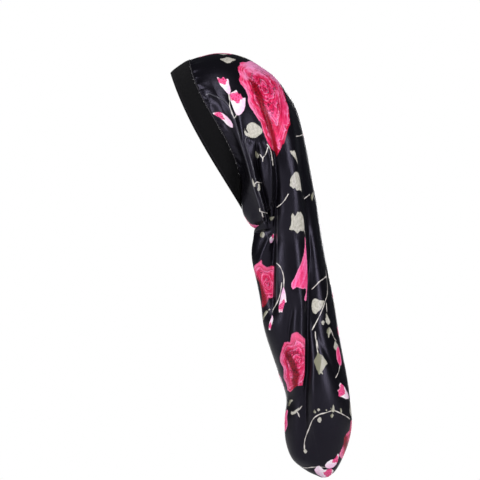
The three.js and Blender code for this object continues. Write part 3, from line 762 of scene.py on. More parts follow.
def stem_corners(corners):
    """For each face corner: the distance along and across the nearest stem, in metres."""
    best = np.full(corners.shape[:2], np.inf)
    result = np.full(corners.shape[:3] + (3,), FAR_OUT)
    for route in STEMS.values():
        found = [cloth_at(*place) for place in route]
        flat = np.array([main_cloth[at] for at in found])
        true_size = np.linalg.qr(form_slopes[found[len(found) // 2]])[1]
        line = between(flat, np.linspace(0, len(flat) - 1, STEM_STEPS)) @ true_size.T
        heading = unit(np.gradient(line, axis=0))
        run = np.concatenate([[0], np.cumsum(np.linalg.norm(np.diff(line, axis=0), axis=1))])
        places = corners @ true_size.T
        centre = places.mean(2)
        low, high = line.min(0) - STEM_MARGIN, line.max(0) + STEM_MARGIN
        reach = np.all((centre > low) & (centre < high), axis=-1)
        places = places[reach]
        gap = places[:, :, None] - line
        nearest = np.argmin((gap**2).sum(-1), axis=-1)
        away = np.take_along_axis(gap, nearest[..., None, None], axis=2)[:, :, 0]
        ahead = heading[nearest]
        across = away[..., 0] * ahead[..., 1] - away[..., 1] * ahead[..., 0]
        beyond = (away * ahead).sum(-1)
        distance = np.linalg.norm(away, axis=-1).mean(-1)
        nearer = distance < best[reach]
        values = np.stack([run[nearest] + beyond, across, np.abs(beyond)], -1)
        chosen = np.flatnonzero(reach.ravel())[nearer]
        best.reshape(-1)[chosen] = distance[nearer]
        result.reshape(-1, 4, 3)[chosen] = values[nearer]
    return result


print(STEM_STEPS, "steps to a stem")

# %% [markdown]
# A crease with a painted highlight is a line, so it is carried to the shader in the same way. The
# distance keeps its sign, because an unsigned one would be rounded off in the faces that the crease
# crosses.

# %% Creases with a painted highlight, and everything together
CREASE_TAPER, CREASE_END = 0.06, 20     # share of a route at each end, and millimetres that it opens


def crease_sides(points, fold_shift):
    """How far points are to the side of each crease with a painted highlight, in metres, opened out
    at its ends.
    """
    flat = points.reshape(-1, 3)[:, 1:] - [fold_shift, 0]
    sides = []
    for route in HIGHLIGHTED_CREASES:
        _, _, side, part = route_place(np.array(route, float), flat)
        opened = 1 - smooth(part / CREASE_TAPER) * smooth((1 - part) / CREASE_TAPER)
        sides.append(side + CREASE_END * np.sign(side) * opened)
    return np.stack(sides, -1).reshape(points.shape) * MM


def print_corners(name):
    """All the print's coordinates on the face corners of one panel."""
    right = PANELS[name]["sign"] < 0
    corners = corner_values(turned_round(cloth[name]) if right else cloth[name])
    values = {kind: motif_corners(kind, corners, right) for kind in PRINT}
    values["stem"] = stem_corners(corners)
    values["crease"] = corner_values(crease_sides(panel_points[name], PANELS[name]["fold_shift"]))
    values["cloth"] = np.concatenate([corners, np.zeros(corners.shape[:3] + (1,))], -1)
    return values


print("a panel has", len(PRINT) + 3, "sets of coordinates")

# %% [markdown]
# ## Meshes
# A panel is two grids of points, its outside and its inside, closed round the rim. A Solidify
# modifier could give the thickness, but then the rim would take its shading from the outside, and
# a thin cloth's rim has to stay crisp. The print's coordinates go on the face corners.

# %% Closed sheets
def grid_faces(rows, columns, start=0):
    """Four corner numbers for each face of a grid."""
    index = start + np.arange(rows * columns).reshape(rows, columns)
    return np.stack([index[:-1, :-1], index[:-1, 1:], index[1:, 1:], index[1:, :-1]], -1).reshape(-1, 4)


def rim_faces(rows, columns):
    """The faces that join the rims of two grids of the same size."""
    index = np.arange(rows * columns).reshape(rows, columns)
    loop = np.concatenate([index[:-1, 0], index[-1, :-1], index[:0:-1, -1], index[0, :0:-1]])
    after = np.roll(loop, -1)
    return np.stack([loop, after, after + rows * columns, loop + rows * columns], -1)


def mesh_object(name, points, faces, materials, face_material, attributes, even=None):
    """A mesh object at the origin, from points in millimetres. even marks the faces that are shaded
    smooth, and all of them are if it is left out."""
    mesh = bpy.data.meshes.new(name)
    mesh.from_pydata(points * MM, [], faces)
    mesh.polygons.foreach_set("material_index", face_material)
    mesh.polygons.foreach_set("use_smooth", np.ones(len(faces), bool) if even is None else even)
    for material in materials:
        mesh.materials.append(material)
    for key, values in attributes.items():
        layer = mesh.attributes.new(key, "FLOAT_VECTOR", "CORNER")
        layer.data.foreach_set("vector", values.astype(np.float32).ravel())
    mesh.update()
    piece = bpy.data.objects.new(name, mesh)
    bpy.context.scene.collection.objects.link(piece)
    return piece


def surface_normals(points):
    """The way out of a grid of points."""
    along_row, along_turn = np.gradient(points, axis=0), np.gradient(points, axis=1)
    return unit(np.cross(along_turn, along_row))


def satin_panel(name, materials):
    """One panel: its outside, its inside and its rim."""
    outer = panel_points[name].copy()
    inner = outer - surface_normals(outer) * SHEET
    outer[..., 0] = np.maximum(outer[..., 0], SEAM_GAP / 2)
    inner[..., 0] = np.maximum(inner[..., 0], SEAM_GAP / 2)
    points = np.concatenate([outer.reshape(-1, 3), inner.reshape(-1, 3)])
    outside = grid_faces(ROWS, COLUMNS)
    inside = grid_faces(ROWS, COLUMNS, ROWS * COLUMNS)[:, ::-1]
    rim = rim_faces(ROWS, COLUMNS)
    faces = np.concatenate([outside, inside, rim])
    if PANELS[name]["sign"] < 0:
        points = points * [-1, 1, 1]
        faces = faces[:, ::-1]
    face_material = np.concatenate([np.zeros(len(outside), int), np.ones(len(inside) + len(rim), int)])
    attributes = {}
    for kind, values in print_corners(name).items():
        flat = values.reshape(-1, 4, 3)
        back = flat[:, ::-1] if kind == "cloth" else np.full_like(flat, FAR_OUT)
        rest = np.full((len(rim), 4, 3), FAR_OUT)
        whole = np.concatenate([flat, back, rest])
        attributes[kind] = whole[:, ::-1] if PANELS[name]["sign"] < 0 else whole
    even = np.arange(len(faces)) < len(outside) + len(inside)
    return mesh_object(name + "_cloth", points, faces, materials, face_material, attributes, even)


print("the rim of a panel has", len(rim_faces(ROWS, COLUMNS)), "faces")

# %% [markdown]
# ## Shader formulas
# Nodes can be placed and linked by hand in the shader editor, but a long pattern is easier to read as
# ordinary maths. A Wire is one socket of a material's node tree, and its operators add the nodes of a
# formula.

# %% The socket wrapper
class Wire:
    """A socket of a node tree that can be used in formulas."""

    def __init__(self, tree, socket=None):
        self.tree, self.socket = tree, socket

    def node(self, kind, *values, out=0, named=None, stops=(), **settings):
        """Adds a node and returns one output. Its settings and a ramp's stops are set first, then its
        inputs in order, where None leaves one alone, and by name."""
        added = self.tree.nodes.new("ShaderNode" + kind)
        for key, value in settings.items():
            setattr(added, key, value)
        for _ in stops[2:]:
            added.color_ramp.elements.new(0.5)
        for k, (position, shade) in enumerate(stops):
            added.color_ramp.elements[k].position = position
            added.color_ramp.elements[k].color = shade
        for place, value in [*enumerate(values), *(named or {}).items()]:
            if isinstance(value, Wire):
                self.tree.links.new(value.socket, added.inputs[place])
            elif value is not None:
                added.inputs[place].default_value = value
        return Wire(self.tree, added.outputs[out])

    def math(self, operation, *others):
        """A Math node with this value first."""
        return self.node("Math", self, *others, operation=operation)

    def __add__(self, other): return self.math("ADD", other)
    def __radd__(self, other): return self.math("ADD", other)
    def __sub__(self, other): return self.math("SUBTRACT", other)
    def __rsub__(self, other): return self.node("Math", other, self, operation="SUBTRACT")
    def __mul__(self, other): return self.math("MULTIPLY", other)
    def __rmul__(self, other): return self.math("MULTIPLY", other)
    def __truediv__(self, other): return self.math("DIVIDE", other)
    def __rtruediv__(self, other): return self.node("Math", other, self, operation="DIVIDE")
    def __pow__(self, other): return self.math("POWER", other)
    def __abs__(self): return self.math("ABSOLUTE")

    def sin(self): return self.math("SINE")
    def fract(self): return self.math("FRACT")
    def least(self, other): return self.math("MINIMUM", other)
    def most(self, other): return self.math("MAXIMUM", other)

    def rises(self, low, high):
        """0 below low, 1 above high, and an S-shaped curve between them."""
        return self.node("MapRange", self, low, high, 0.0, 1.0, interpolation_type="SMOOTHSTEP")

    def mix(self, first, second):
        """first where this is 0 and second where it is 1, as colours."""
        return self.node("Mix", self, out=2, named={6: first, 7: second}, data_type="RGBA")

    def parts(self):
        """The three parts of a vector."""
        split = self.node("SeparateXYZ", self).socket.node
        return [Wire(self.tree, output) for output in split.outputs]

    def joined(self, y, z=0.0):
        """A vector with this value first."""
        return self.node("CombineXYZ", self, y, z)

    def noise(self, scale, detail=2.0, roughness=0.5):
        """Smooth noise around a half, at this vector."""
        return self.node("TexNoise", named={"Vector": self, "Scale": scale, "Detail": detail,
                                           "Roughness": roughness})

    def ramp(self, *stops):
        """A colour for this value: stops are (position, colour)."""
        return self.node("ValToRGB", self, stops=stops)

    def bump(self, strength):
        """The normals of a surface that has this height in metres."""
        return self.node("Bump", named={"Strength": strength, "Distance": 1.0, "Height": self})


print("the wrapper has", len(vars(Wire)), "members")

# %% [markdown]
# Every finish starts from one Principled shader. Colours are given as they look on a display, because
# that is how a dyer's or printer's swatch is compared.

# %% Colours and shaders
def colour(red, green, blue):
    """A display colour of 0 to 255 for each part, as the shader's own numbers."""
    parts = np.array([red, green, blue]) / 255
    return (*np.where(parts < 0.04, parts / 12.92, ((parts + 0.055) / 1.055) ** 2.4), 1.0)


def new_material(name):
    """(material, its start wire, its Principled shader)."""
    material = bpy.data.materials.new(name)
    material.use_nodes = True
    return material, Wire(material.node_tree), material.node_tree.nodes["Principled BSDF"]


def attribute(wire, name):
    """The vector that the mesh holds under a name."""
    return wire.node("Attribute", attribute_name=name, out=1)


def dress(shader, sockets):
    """Fills the shader's sockets: a formula is linked, and a plain number or colour is set on it."""
    for name, value in sockets.items():
        if isinstance(value, Wire):
            value.tree.links.new(value.socket, shader.inputs[name])
        else:
            shader.inputs[name].default_value = value


print("half grey is", round(colour(128, 128, 128)[0], 3), "in the shader's own numbers")

# %% [markdown]
# ## Printed motifs
# Each motif is a mask and a colour. The mask is where the distance inside the outline is above zero,
# roughened by noise, because a print on woven satin bleeds a little along its threads. The rose adds
# the share of the way from its heart to its rim to the angle round it and cuts the sum into whole
# turns, so its petals wind outward and take the shape of its outline.

# %% Roses
TEAR = 420.0            # how fine the rough edge of the print is, in waves to the metre


def torn_edge(cloth_place, roughness=0.6):
    """Fine noise around nothing, which roughens outlines."""
    return cloth_place.noise(TEAR, 3.0, roughness) - 0.5


def polar(x, y):
    """Distance from the middle and angle round it."""
    return (x * x + y * y) ** 0.5, y.math("ARCTAN2", x)


def rose(place, cloth_place):
    """Wound petals, a pale side and rim, a dark streak where a fold runs through, partly the print's
    own crimson and partly painted shade, and black cracks.
    """
    x, y, inside = place.parts()
    far, angle = polar(x, y)
    torn = torn_edge(cloth_place)
    drift = cloth_place.noise(95.0, 2.0) - 0.5
    mask = (inside + torn * 1.5).rises(-0.1, 0.3)
    share = far / (far + inside.most(0.0) + 1.0)
    around_x, around_y = x / (far + 0.5), y / (far + 0.5)
    ripple = 0.12 * (angle * 3 + share * 9).sin()
    swirl = share * 4.3 + angle * (1 / (2 * math.pi)) + drift * 1.3 + torn * 0.1 + ripple
    shade = swirl.fract().ramp(
        (0.0, colour(146, 4, 34)), (0.08, colour(196, 16, 60)), (0.35, colour(222, 34, 86)),
        (0.7, colour(236, 62, 120)), (0.92, colour(246, 110, 164)), (0.98, colour(252, 162, 204)))
    broken = cloth_place.noise(170.0, 2.0).rises(0.44, 0.6)
    shade = (broken * 0.7).mix(shade, colour(226, 40, 94))
    streak = (share * 17).joined(around_x * 1.6, around_y * 1.6).noise(1.0, 3.0, 0.65)
    shade = (streak.rises(0.54, 0.65) * 0.55).mix(shade, colour(252, 140, 190))
    shade = ((1 - streak.rises(0.38, 0.48)) * 0.65).mix(shade, colour(170, 8, 48))
    spoke = (share * 2).joined(around_x * 7, around_y * 7).noise(1.0, 3.0, 0.6)
    shade = (spoke.rises(0.58, 0.72) * share * 0.6).mix(shade, colour(252, 138, 188))
    pale = (share * 0.5 - y * 0.024 + drift * 1.2 - 0.45).rises(0.0, 0.55)
    pale = pale * (x + drift * 10).rises(-24.0, -12.0)
    down = cloth_place.parts()[1]
    shade = (pale * (0.8 - down.rises(0.1, 0.2) * 0.6)).mix(shade, colour(253, 168, 218))
    rim = (1 - (inside + torn * 4).rises(0.8, 4.5)) * (1 - x.rises(-12.0, -2.0)) * y.rises(-14.0, 4.0)
    shade = (rim * 0.6).mix(shade, colour(252, 156, 206))
    # Painted shade, partly the print's own crimson: a dark streak below the heart, where a fold runs
    # through.
    hollow = 1 - abs(x + 8.2 - y * 0.44 + drift * 4).rises(2.0, 5.2)
    hollow = hollow * (y + torn * 20).rises(-14.0, -4.0)
    shade = (hollow * 0.95).mix(shade, colour(142, 0, 14))
    crack = 1 - abs(cloth_place.noise(190.0, 3.0, 0.6) - 0.5).rises(0.008, 0.04)
    crack = crack * cloth_place.noise(70.0, 1.0).rises(0.42, 0.54) * (1 - share.rises(0.5, 0.9))
    speck = hollow * cloth_place.noise(620.0, 2.0).rises(0.53, 0.6) * (1 - y.rises(30.0, 50.0))
    return mask, (speck.most(crack) * 0.85).mix(shade, colour(30, 3, 12))


print("the print's edges are rough on a scale of", round(1000 / TEAR, 1), "mm")

# %% [markdown]
# The smaller motifs are simpler: a bud is a cup with a flushed mouth, a petal is drawn out along its
# length, and blossoms, leaves and stems are pale and nearly grey on the real print. The leaves' darker
# olive grey is partly painted shade.

# %% Smaller motifs
def bud(place, cloth_place):
    """A pale cup with a flushed, toothed mouth. Its place runs from -1 to 1 each way."""
    x, y, inside = place.parts()
    torn = torn_edge(cloth_place, 0.5)
    mask = (inside + torn * 0.5).rises(-0.1, 0.25)
    middle = 0.1 - abs(x + 0.1) * 0.55 + torn * 0.5
    tip = (1 - (y - middle).rises(-0.06, 0.06)) * (y + torn * 0.5).rises(-0.95, -0.7)
    body = (x * 0.4 + y * 0.45 + 0.3 + torn).mix(colour(255, 250, 255), colour(244, 176, 220))
    dark = (cloth_place.noise(650.0, 2.0) - 0.5).rises(-0.05, 0.15)
    flush = dark.mix(colour(244, 96, 158), colour(206, 16, 62))
    return mask, tip.mix(body, flush)


def petal(place, cloth_place):
    """A hot pink petal with lines drawn out along it."""
    x, y, inside = place.parts()
    torn = torn_edge(cloth_place)
    mask = (inside + torn * 1.2).rises(-0.1, 0.3)
    drawn = ((x + y * 0.3) * 0.35).joined(y * 0.03).noise(1.0, 4.0, 0.6)
    shade = (drawn + torn * 0.25).ramp(
        (0.3, colour(206, 26, 92)), (0.45, colour(238, 62, 122)), (0.6, colour(250, 112, 172)),
        (0.75, colour(253, 160, 210)))
    return mask, ((1 - inside.rises(0.2, 1.6)) * 0.4).mix(shade, colour(253, 176, 216))


def blossom(place, cloth_place):
    """An off-white flower, mottled and veined."""
    _, _, inside = place.parts()
    torn = torn_edge(cloth_place)
    mask = (inside + torn * 0.8).rises(-0.1, 0.25)
    mottle = cloth_place.noise(330.0, 4.0, 0.65).rises(0.3, 0.7)
    shade = mottle.mix(colour(166, 162, 150), colour(210, 206, 197))
    vein = 1 - abs(cloth_place.noise(150.0, 2.0) - 0.5).rises(0.0, 0.02)
    shade = (vein * 0.35).mix(shade, colour(150, 146, 130))
    return mask, ((1 - inside.rises(0.0, 0.9)) * 0.3).mix(shade, colour(156, 152, 140))


def leaf(place, cloth_place):
    """A grey-green leaf with two halves and ribs; its darker grey-green is partly painted shade."""
    x, y, inside = place.parts()
    torn = torn_edge(cloth_place)
    mask = (inside + torn * 0.8).rises(-0.1, 0.25)
    half = (x + y * 0.15 + torn * 2).rises(-0.6, 0.6)
    # Olive grey, partly the print's own tone and partly painted shade.
    shade = half.mix(colour(132, 130, 110), colour(182, 179, 164))
    ribs = abs(((y - abs(x) * 0.8) * 0.45).fract() - 0.5).rises(0.0, 0.16)
    return mask, ((1 - ribs) * 0.4).mix(shade, colour(126, 124, 104))


def stem(place, cloth_place):
    """A thin line of uneven width, cut off at both ends."""
    along, across, beyond = place.parts()
    thick = 0.0005 + 0.0003 * (along * 420).sin() * (along * 173).sin()
    mask = (1 - (abs(across) - thick).rises(-0.0001, 0.0002)) * (1 - beyond.rises(0.0006, 0.0012))
    return mask, cloth_place.noise(260.0, 2.0).mix(colour(176, 170, 158), colour(246, 238, 236))


MOTIFS = {"stem": stem, "leaf": leaf, "blossom": blossom, "rose": rose, "petal": petal, "bud": bud}
print(len(MOTIFS), "kinds of motif")

# %% [markdown]
# ## Materials
# The satin is nearly black with a soft blue sheen. Its weave is far finer than the print, so it
# shows only as a faint grain, and drag lines run down the cloth where it is pulled. A low specular
# level with a blue tint gives the soft gloss of polyester. Along the sharpest creases a pale line is
# painted as a highlight, and a thin coat lies there alone. The reverse of the cloth is the same satin
# without print or crease highlights.

# %% Satin
TWILL = 0.0009                              # metres from one line of the weave to the next
TWILL_HEIGHT, DRAWN_HEIGHT, SOFT_HEIGHT = 0.000012, 0.0006, 0.0012      # metres of bump
CREASE_CORE, CREASE_FAR = 0.0003, 0.001     # metres from a crease between which its shine fades


def satin_relief(place):
    """Bump for the cloth: a fine twill and faint wrinkles drawn out down the cloth."""
    across, down, _ = place.parts()
    twill = ((across + down * 0.6) * (2 * math.pi / TWILL)).sin()
    drawn = (across * 90).joined(down * 14).noise(1.0, 4.0, 0.55)
    soft = (across * 38).joined(down * 22).noise(1.0, 3.0, 0.5)
    height = twill * TWILL_HEIGHT + drawn * DRAWN_HEIGHT + soft * SOFT_HEIGHT
    return height.bump(0.5)


def satin_material(name, printed):
    """Nearly black satin, with the print and the painted crease highlights where it is printed."""
    material, wire, shader = new_material(name)
    place = attribute(wire, "cloth")
    grain = place.noise(1400.0, 2.0)
    shade = grain.mix(colour(7, 6, 9), colour(14, 13, 17))
    if printed:
        for kind, pattern in MOTIFS.items():
            mask, motif_shade = pattern(attribute(wire, kind), place)
            shade = mask.mix(shade, motif_shade)
        sides = [abs(side) for side in attribute(wire, "crease").parts()]
        coat_and_painted_highlight = 1 - sides[0].least(sides[1]).least(sides[2]).rises(CREASE_CORE, CREASE_FAR)
        # Painted highlight: a pale line along the creases, where a thin coat also adds real gloss.
        shade = (coat_and_painted_highlight * 0.3).mix(shade, colour(84, 82, 94))
        dress(shader, {"Coat Weight": coat_and_painted_highlight * 0.9, "Coat Roughness": 0.3})
    dress(shader, {"Base Color": shade, "Roughness": 0.24 + 0.08 * grain,
                   "Normal": satin_relief(place), "Specular IOR Level": 0.3,
                   "Specular Tint": colour(226, 218, 255)})
    return material


satin = satin_material("printed satin", True)
reverse = satin_material("satin reverse", False)
print("satin nodes:", len(satin.node_tree.nodes))

# %% [markdown]
# The two panels carry the same two finishes: the printed satin outside, and the plain reverse on the
# inside and the rim.

# %% The two panels
panels = {name: satin_panel(name, [satin, reverse]) for name in PANELS}
for name, piece in panels.items():
    print(piece.name, len(piece.data.polygons), "faces")

# %% [markdown]
# ## The head band and the gathered edge
# Both follow the ring where the satin starts, so they are one section carried round that ring. At the
# nape the satin turns back and hangs down, and the band leaves it on the neck's side, half way between
# the cloth's own direction and the free edge.

# %% The ring
FREE_EDGE = np.array([-47, 84.5, 45, -89, 73, -6, 3, 1, 0])
ROLL_RADIUS, ROLL_RISE = 1.0, 0.2
ROLL_OVERLAP = 0.15     # how far the roll reaches over the rim of the satin
BAND_WIDTH, BAND_THICKNESS, BAND_CROWN, BAND_EDGE_SHARE = 28.0, 2.4, 0.7, 0.55
RING_STEPS = 900


def ring_frames():
    """The middle of the satin's edge all round, its directions, and the band's free edge. The second
    half of the ring is the mirror image of the first."""
    angle = np.arange(RING_STEPS) / RING_STEPS * 2 * math.pi
    sign = np.where(angle <= math.pi, 1.0, -1.0)[:, None] * [1, 0, 0] + [0, 1, 1]
    turn = np.where(angle <= math.pi, angle, 2 * math.pi - angle)
    row = np.zeros(RING_STEPS)
    out = outward(row, turn)
    way = unit(plain_point(row, turn + TINY) - plain_point(row, turn - TINY))
    forward = np.cross(way, out)
    middle = plain_point(row, turn) - out * SHEET / 2
    edge = section_point(np.broadcast_to(FREE_EDGE, (RING_STEPS, len(FREE_EDGE))), turn)
    way = way * np.where(angle <= math.pi, 1.0, -1.0)[:, None]
    return [vectors * sign for vectors in (middle, out, forward, way, edge)]


ring_middle, ring_out, ring_forward, ring_way, ring_edge = ring_frames()
roll_middle = ring_middle + ring_forward * (ROLL_RADIUS - ROLL_OVERLAP) + ring_out * ROLL_RISE
ring_length = np.linalg.norm(np.roll(ring_edge, -1, 0) - ring_edge, axis=1).sum()
ring_along = np.arange(RING_STEPS) / RING_STEPS * ring_length
print("free edge of the band:", round(ring_length), "mm round")


def ring_faces(steps, sides):
    """The faces of a closed ring of closed sections."""
    index = np.arange(steps * sides).reshape(steps, sides)
    after = np.roll(index, -1, 0)
    return np.stack([index, np.roll(index, -1, 1), np.roll(after, -1, 1), after], -1).reshape(-1, 4)


def ring_corners(along, across):
    """Coordinates along the ring and across it, without a jump where the ring closes."""
    step = along[1] - along[0]
    grid = np.stack(np.broadcast_arrays(along[:, None], across[None, :]), -1)
    nxt = grid.copy() + [step, 0]
    turned = np.roll(grid, -1, 1)
    far = np.roll(nxt, -1, 1)
    corners = np.stack([grid, turned, far, nxt], 2) * MM
    return np.concatenate([corners, np.zeros(corners.shape[:3] + (1,))], -1).reshape(-1, 4, 3)


# %% [markdown]
# The edge of the satin is turned over and drawn into small gathers, so its roll is knotted all the
# way round, and a pale line runs along it.

# %% The gathered edge
ROLL_SIDES = 14


def gathered_edge(material):
    """The roll of satin where the panels are gathered onto the band: a circle carried round the ring,
    whose radius swells and shrinks in waves as it is pinched."""
    pinch = np.sin(ring_along * 1.05 + 1.3 * np.sin(ring_along * 0.13)) + 0.5 * np.sin(ring_along * 2.3)
    radius = ROLL_RADIUS * (0.95 + 0.06 * pinch)[:, None, None]
    angle = (np.arange(ROLL_SIDES) / ROLL_SIDES * 2 * math.pi)[None, :, None]
    lean = 0.25 * np.sin(ring_along * 1.7)[:, None, None]
    points = (roll_middle[:, None] + ring_out[:, None] * radius * np.sin(angle + lean)
              - ring_forward[:, None] * radius * np.cos(angle + lean))
    around = np.arange(ROLL_SIDES) / ROLL_SIDES * 2 * math.pi * ROLL_RADIUS
    faces = ring_faces(RING_STEPS, ROLL_SIDES)
    return mesh_object("gathered_edge_roll", points.reshape(-1, 3), faces[:, ::-1], [material],
                       np.zeros(len(faces), int), {"cloth": ring_corners(ring_along, around)[:, ::-1]})


def edge_material():
    """Dark gathered satin with one pale line along its outer side, broken in places."""
    material, wire, shader = new_material("gathered satin edge")
    place = attribute(wire, "cloth")
    _, across, _ = place.parts()
    patchy = place.noise(260.0, 3.0)
    gather = place.noise(900.0, 3.0)
    pale_line = 1 - abs(across - 0.0016 + (patchy - 0.5) * 0.0012).rises(0.0003, 0.0008)
    shade = gather.mix(colour(10, 9, 12), colour(24, 22, 27))
    shade = (pale_line * patchy.rises(0.26, 0.42) * 0.8).mix(shade, colour(72, 70, 74))
    height = gather * 0.0006 + pale_line * 0.0002
    dress(shader, {"Base Color": shade, "Roughness": 0.7 + 0.25 * patchy, "Normal": height.bump(0.8),
                   "Specular IOR Level": 0.0})
    return material


edge_roll = gathered_edge(edge_material())
print(edge_roll.name, len(edge_roll.data.polygons), "faces")

# %% [markdown]
# The band is knit pulled over an elastic, thicker in its middle than at its two hems. Jersey knit has
# fine ribs across the band, and each rib is a row of loops, which two sets of waves in the bump give.

# %% The head band
BAND_STEPS = 22
RIB, LOOP, STITCH = 0.0011, 0.0013, 0.0028      # the repeats of knit and stitches, in metres
HEM_PLACE, HEM_HALF = 0.0245, 0.00035           # the line of stitches, in metres across the band
DRAW, DRAW_FADE = 0.35, 0.12    # waves at the sewn edge: millimetres, and share of the band's width


def band_section():
    """(across, side) for the outside of the band and back again along its inside. The steps lie closer
    at the two edges, which are rounded by a high power of the place across."""
    even = np.linspace(0, 1, BAND_STEPS)
    across = 0.25 - 0.25 * np.cos(even * math.pi) + 0.5 * even
    edge = np.sqrt(np.clip(1 - (2 * even - 1) ** 24, 0.05, 1))
    return np.concatenate([across, across[::-1]]), np.concatenate([edge, -edge[::-1]])


def elastic_band(material):
    """The knit band, from the gathered edge to its free edge round the face: a point is a share across
    from one to the other, raised by a parabola and by its side times half the thickness."""
    across, side = band_section()
    lean = ring_edge - roll_middle
    turned = np.arctan2((lean * ring_out).sum(-1), (lean * ring_forward).sum(-1))
    half = np.where(turned < -math.pi / 2, turned + 2 * math.pi, turned)[:, None] / 2
    sewn = roll_middle + (ring_forward * np.cos(half) + ring_out * np.sin(half)) * ROLL_RADIUS
    width = ring_edge - sewn
    out = unit(np.cross(width, ring_way))
    crown = BAND_CROWN * np.maximum(0, np.cos(half))
    middle = 4 * across * (1 - across)
    share = BAND_EDGE_SHARE + (1 - BAND_EDGE_SHARE) * np.minimum(1, middle * 1.6)
    wave = np.sin(ring_along * 0.9 + np.sin(ring_along * 0.21))[:, None]
    draw = DRAW * np.exp(-across / DRAW_FADE)[None] * wave
    height = crown * middle + side * share * BAND_THICKNESS / 2 + draw
    points = sewn[:, None] + width[:, None] * across[None, :, None] + out[:, None] * height[..., None]
    faces = ring_faces(RING_STEPS, len(across))
    return mesh_object("elastic_band_knit", points.reshape(-1, 3), faces[:, ::-1], [material],
                       np.zeros(len(faces), int),
                       {"cloth": ring_corners(ring_along, across * BAND_WIDTH)[:, ::-1]})


def knit_material():
    """Fine ribs of jersey knit, with a line of stitches along the free hem."""
    material, wire, shader = new_material("black knit")
    place = attribute(wire, "cloth")
    along, across, _ = place.parts()
    rib = abs((along * (math.pi / RIB)).sin())
    loop = abs((across * (math.pi / LOOP) + rib * 0.8).sin())
    fuzz = place.noise(900.0, 3.0, 0.7)
    hem = 1 - (abs(across - HEM_PLACE) - HEM_HALF).rises(0.0, 0.0002)
    dash = abs((along / STITCH).fract() - 0.5).rises(0.12, 0.16)
    knit = rib * loop
    shade = (knit * 0.6 + fuzz * 0.4).mix(colour(4, 4, 6), colour(11, 10, 13))
    shade = (hem * dash * 0.35).mix(shade, colour(52, 50, 56))
    height = knit * 0.0004 + fuzz * 0.00025 - hem * 0.0005
    dress(shader, {"Base Color": shade, "Roughness": 0.82 + 0.12 * fuzz, "Normal": height.bump(0.7),
                   "Specular IOR Level": 0.1, "Sheen Weight": 0.03, "Sheen Roughness": 0.6})
    return material


band = elastic_band(knit_material())
print(band.name, len(band.data.polygons), "faces")

# %% [markdown]
# ## What each piece stands for
# Every piece rides on the one body and hides its node of the solid model. The table also lists the
# name of its finish.

# %% Riding and replacing
STANDS_FOR = {
    "satin_panel_left": (panels["satin_panel_left"], "printed_satin"),
    "satin_panel_right": (panels["satin_panel_right"], "printed_satin"),
    "gathered_edge": (edge_roll, "satin_edge"),
    "elastic_band": (band, "knit_band"),
}
for node, (piece, finish) in STANDS_FOR.items():
    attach(piece, "root")
    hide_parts(node)
print(len(STANDS_FOR), "pieces, of them", len(PANELS), "sheets of cloth")

# %% [markdown]
# ## The studio
# Black satin shows little but reflections, so the lights shape it. Two tall, narrow soft boxes stand
# to the left and right of the camera and run as soft lines down the folds. A broad light in front and
# one above fill the print's colours. Three weaker ones stand low and nearly straight behind, for the
# other side, where they put no glare on the rims that the camera sees. The floor below the tail is
# pale and the background is white.

# %% Floor, lights and background
FLOOR_HALF, FLOOR_Z = 4, -0.455
LIGHT_TARGET = (0, 0.06, -0.12)


def stage_floor():
    """A flat square below the tail."""
    around = ((-1, -1), (1, -1), (1, 1), (-1, 1))
    corners = [(x * FLOOR_HALF, y * FLOOR_HALF, FLOOR_Z) for x, y in around]
    mesh = bpy.data.meshes.new("floor")
    mesh.from_pydata(corners, [], [(0, 1, 2, 3)])
    floor = bpy.data.objects.new("floor", mesh)
    bpy.context.scene.collection.objects.link(floor)
    material, _, shader = new_material("pale floor")
    dress(shader, {"Base Color": colour(240, 240, 240), "Roughness": 0.8})
    mesh.materials.append(material)


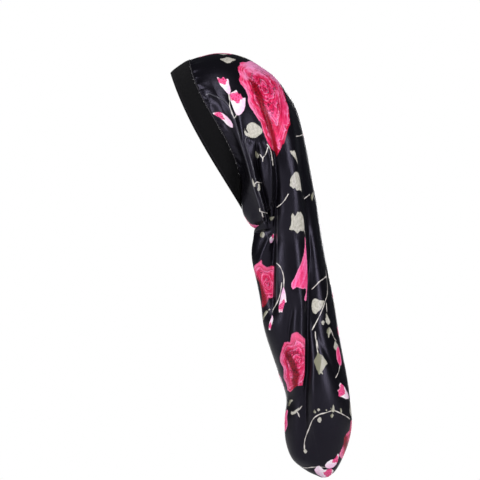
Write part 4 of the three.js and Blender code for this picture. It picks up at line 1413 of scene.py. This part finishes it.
def area_light(name, place, target, size, power):
    """A soft rectangular light that points at a place. size is (width, height)."""
    light = bpy.data.lights.new(name, "AREA")
    light.shape = "RECTANGLE"
    light.size, light.size_y = size
    light.energy = power
    lamp = bpy.data.objects.new(name, light)
    bpy.context.scene.collection.objects.link(lamp)
    lamp.visible_camera = False
    lamp.location = place
    way = np.array(target, float) - place
    yaw = math.atan2(-way[0], way[1])
    lamp.rotation_euler = (math.atan2(math.hypot(way[0], way[1]), -way[2]), 0, yaw)


LIGHTS = {
    "right_box": dict(place=(1.3, 1.7, 0.35), size=(0.5, 2.0), power=27),
    "left_box": dict(place=(1.3, -1.75, 0.45), size=(0.5, 2.0), power=26),
    "front": dict(place=(2.4, 0.1, 1.3), size=(1.4, 1.2), power=20),
    "top": dict(place=(1.1, -0.35, 2.2), size=(0.9, 0.9), power=20),
    "other_right_box": dict(place=(-2.2, 0.4, -0.2), size=(0.5, 1.1), power=5),
    "other_left_box": dict(place=(-2.2, -0.4, -0.2), size=(0.5, 1.1), power=5),
    "other_front": dict(place=(-2.4, 0.1, 0.05), size=(1.0, 0.4), power=5),
}
stage_floor()
for name, light in LIGHTS.items():
    area_light(name, light["place"], LIGHT_TARGET, light["size"], light["power"])

world = bpy.data.worlds.new("studio")
bpy.context.scene.world = world
world.use_nodes = True
sky = Wire(world.node_tree)
camera_only = sky.node("LightPath")
sky_shade = camera_only.mix(colour(60, 62, 68), (1.0, 1.0, 1.0, 1.0))
background = world.node_tree.nodes["Background"]
world.node_tree.links.new(sky_shade.socket, background.inputs["Color"])
bpy.context.scene.view_settings.view_transform = "Standard"
print(len(LIGHTS), "lights")

# %% [markdown]
# The photograph looks at the left side from far away, so the camera has no perspective, and stands
# straight to that side. Its view is as wide as the photograph's grid.

# %% The camera at the photograph's side
PHOTO_STEPS, CAMERA_AWAY = 480, 3
view_middle = (PHOTO_STEPS / 2 - np.array(PHOTO_ORIGIN)) * [1, -1] * PHOTO_SCALE * MM
camera = bpy.data.cameras.new("camera")
camera.type = "ORTHO"
camera.ortho_scale = PHOTO_STEPS * PHOTO_SCALE * MM
camera_object = bpy.data.objects.new("camera", camera)
bpy.context.scene.collection.objects.link(camera_object)
camera_object.location = (CAMERA_AWAY, *view_middle)
camera_object.rotation_euler = (math.pi / 2, 0, math.pi / 2)
bpy.context.scene.camera = camera_object
print("the view is", round(camera.ortho_scale, 3), "m wide")

# %% [markdown]
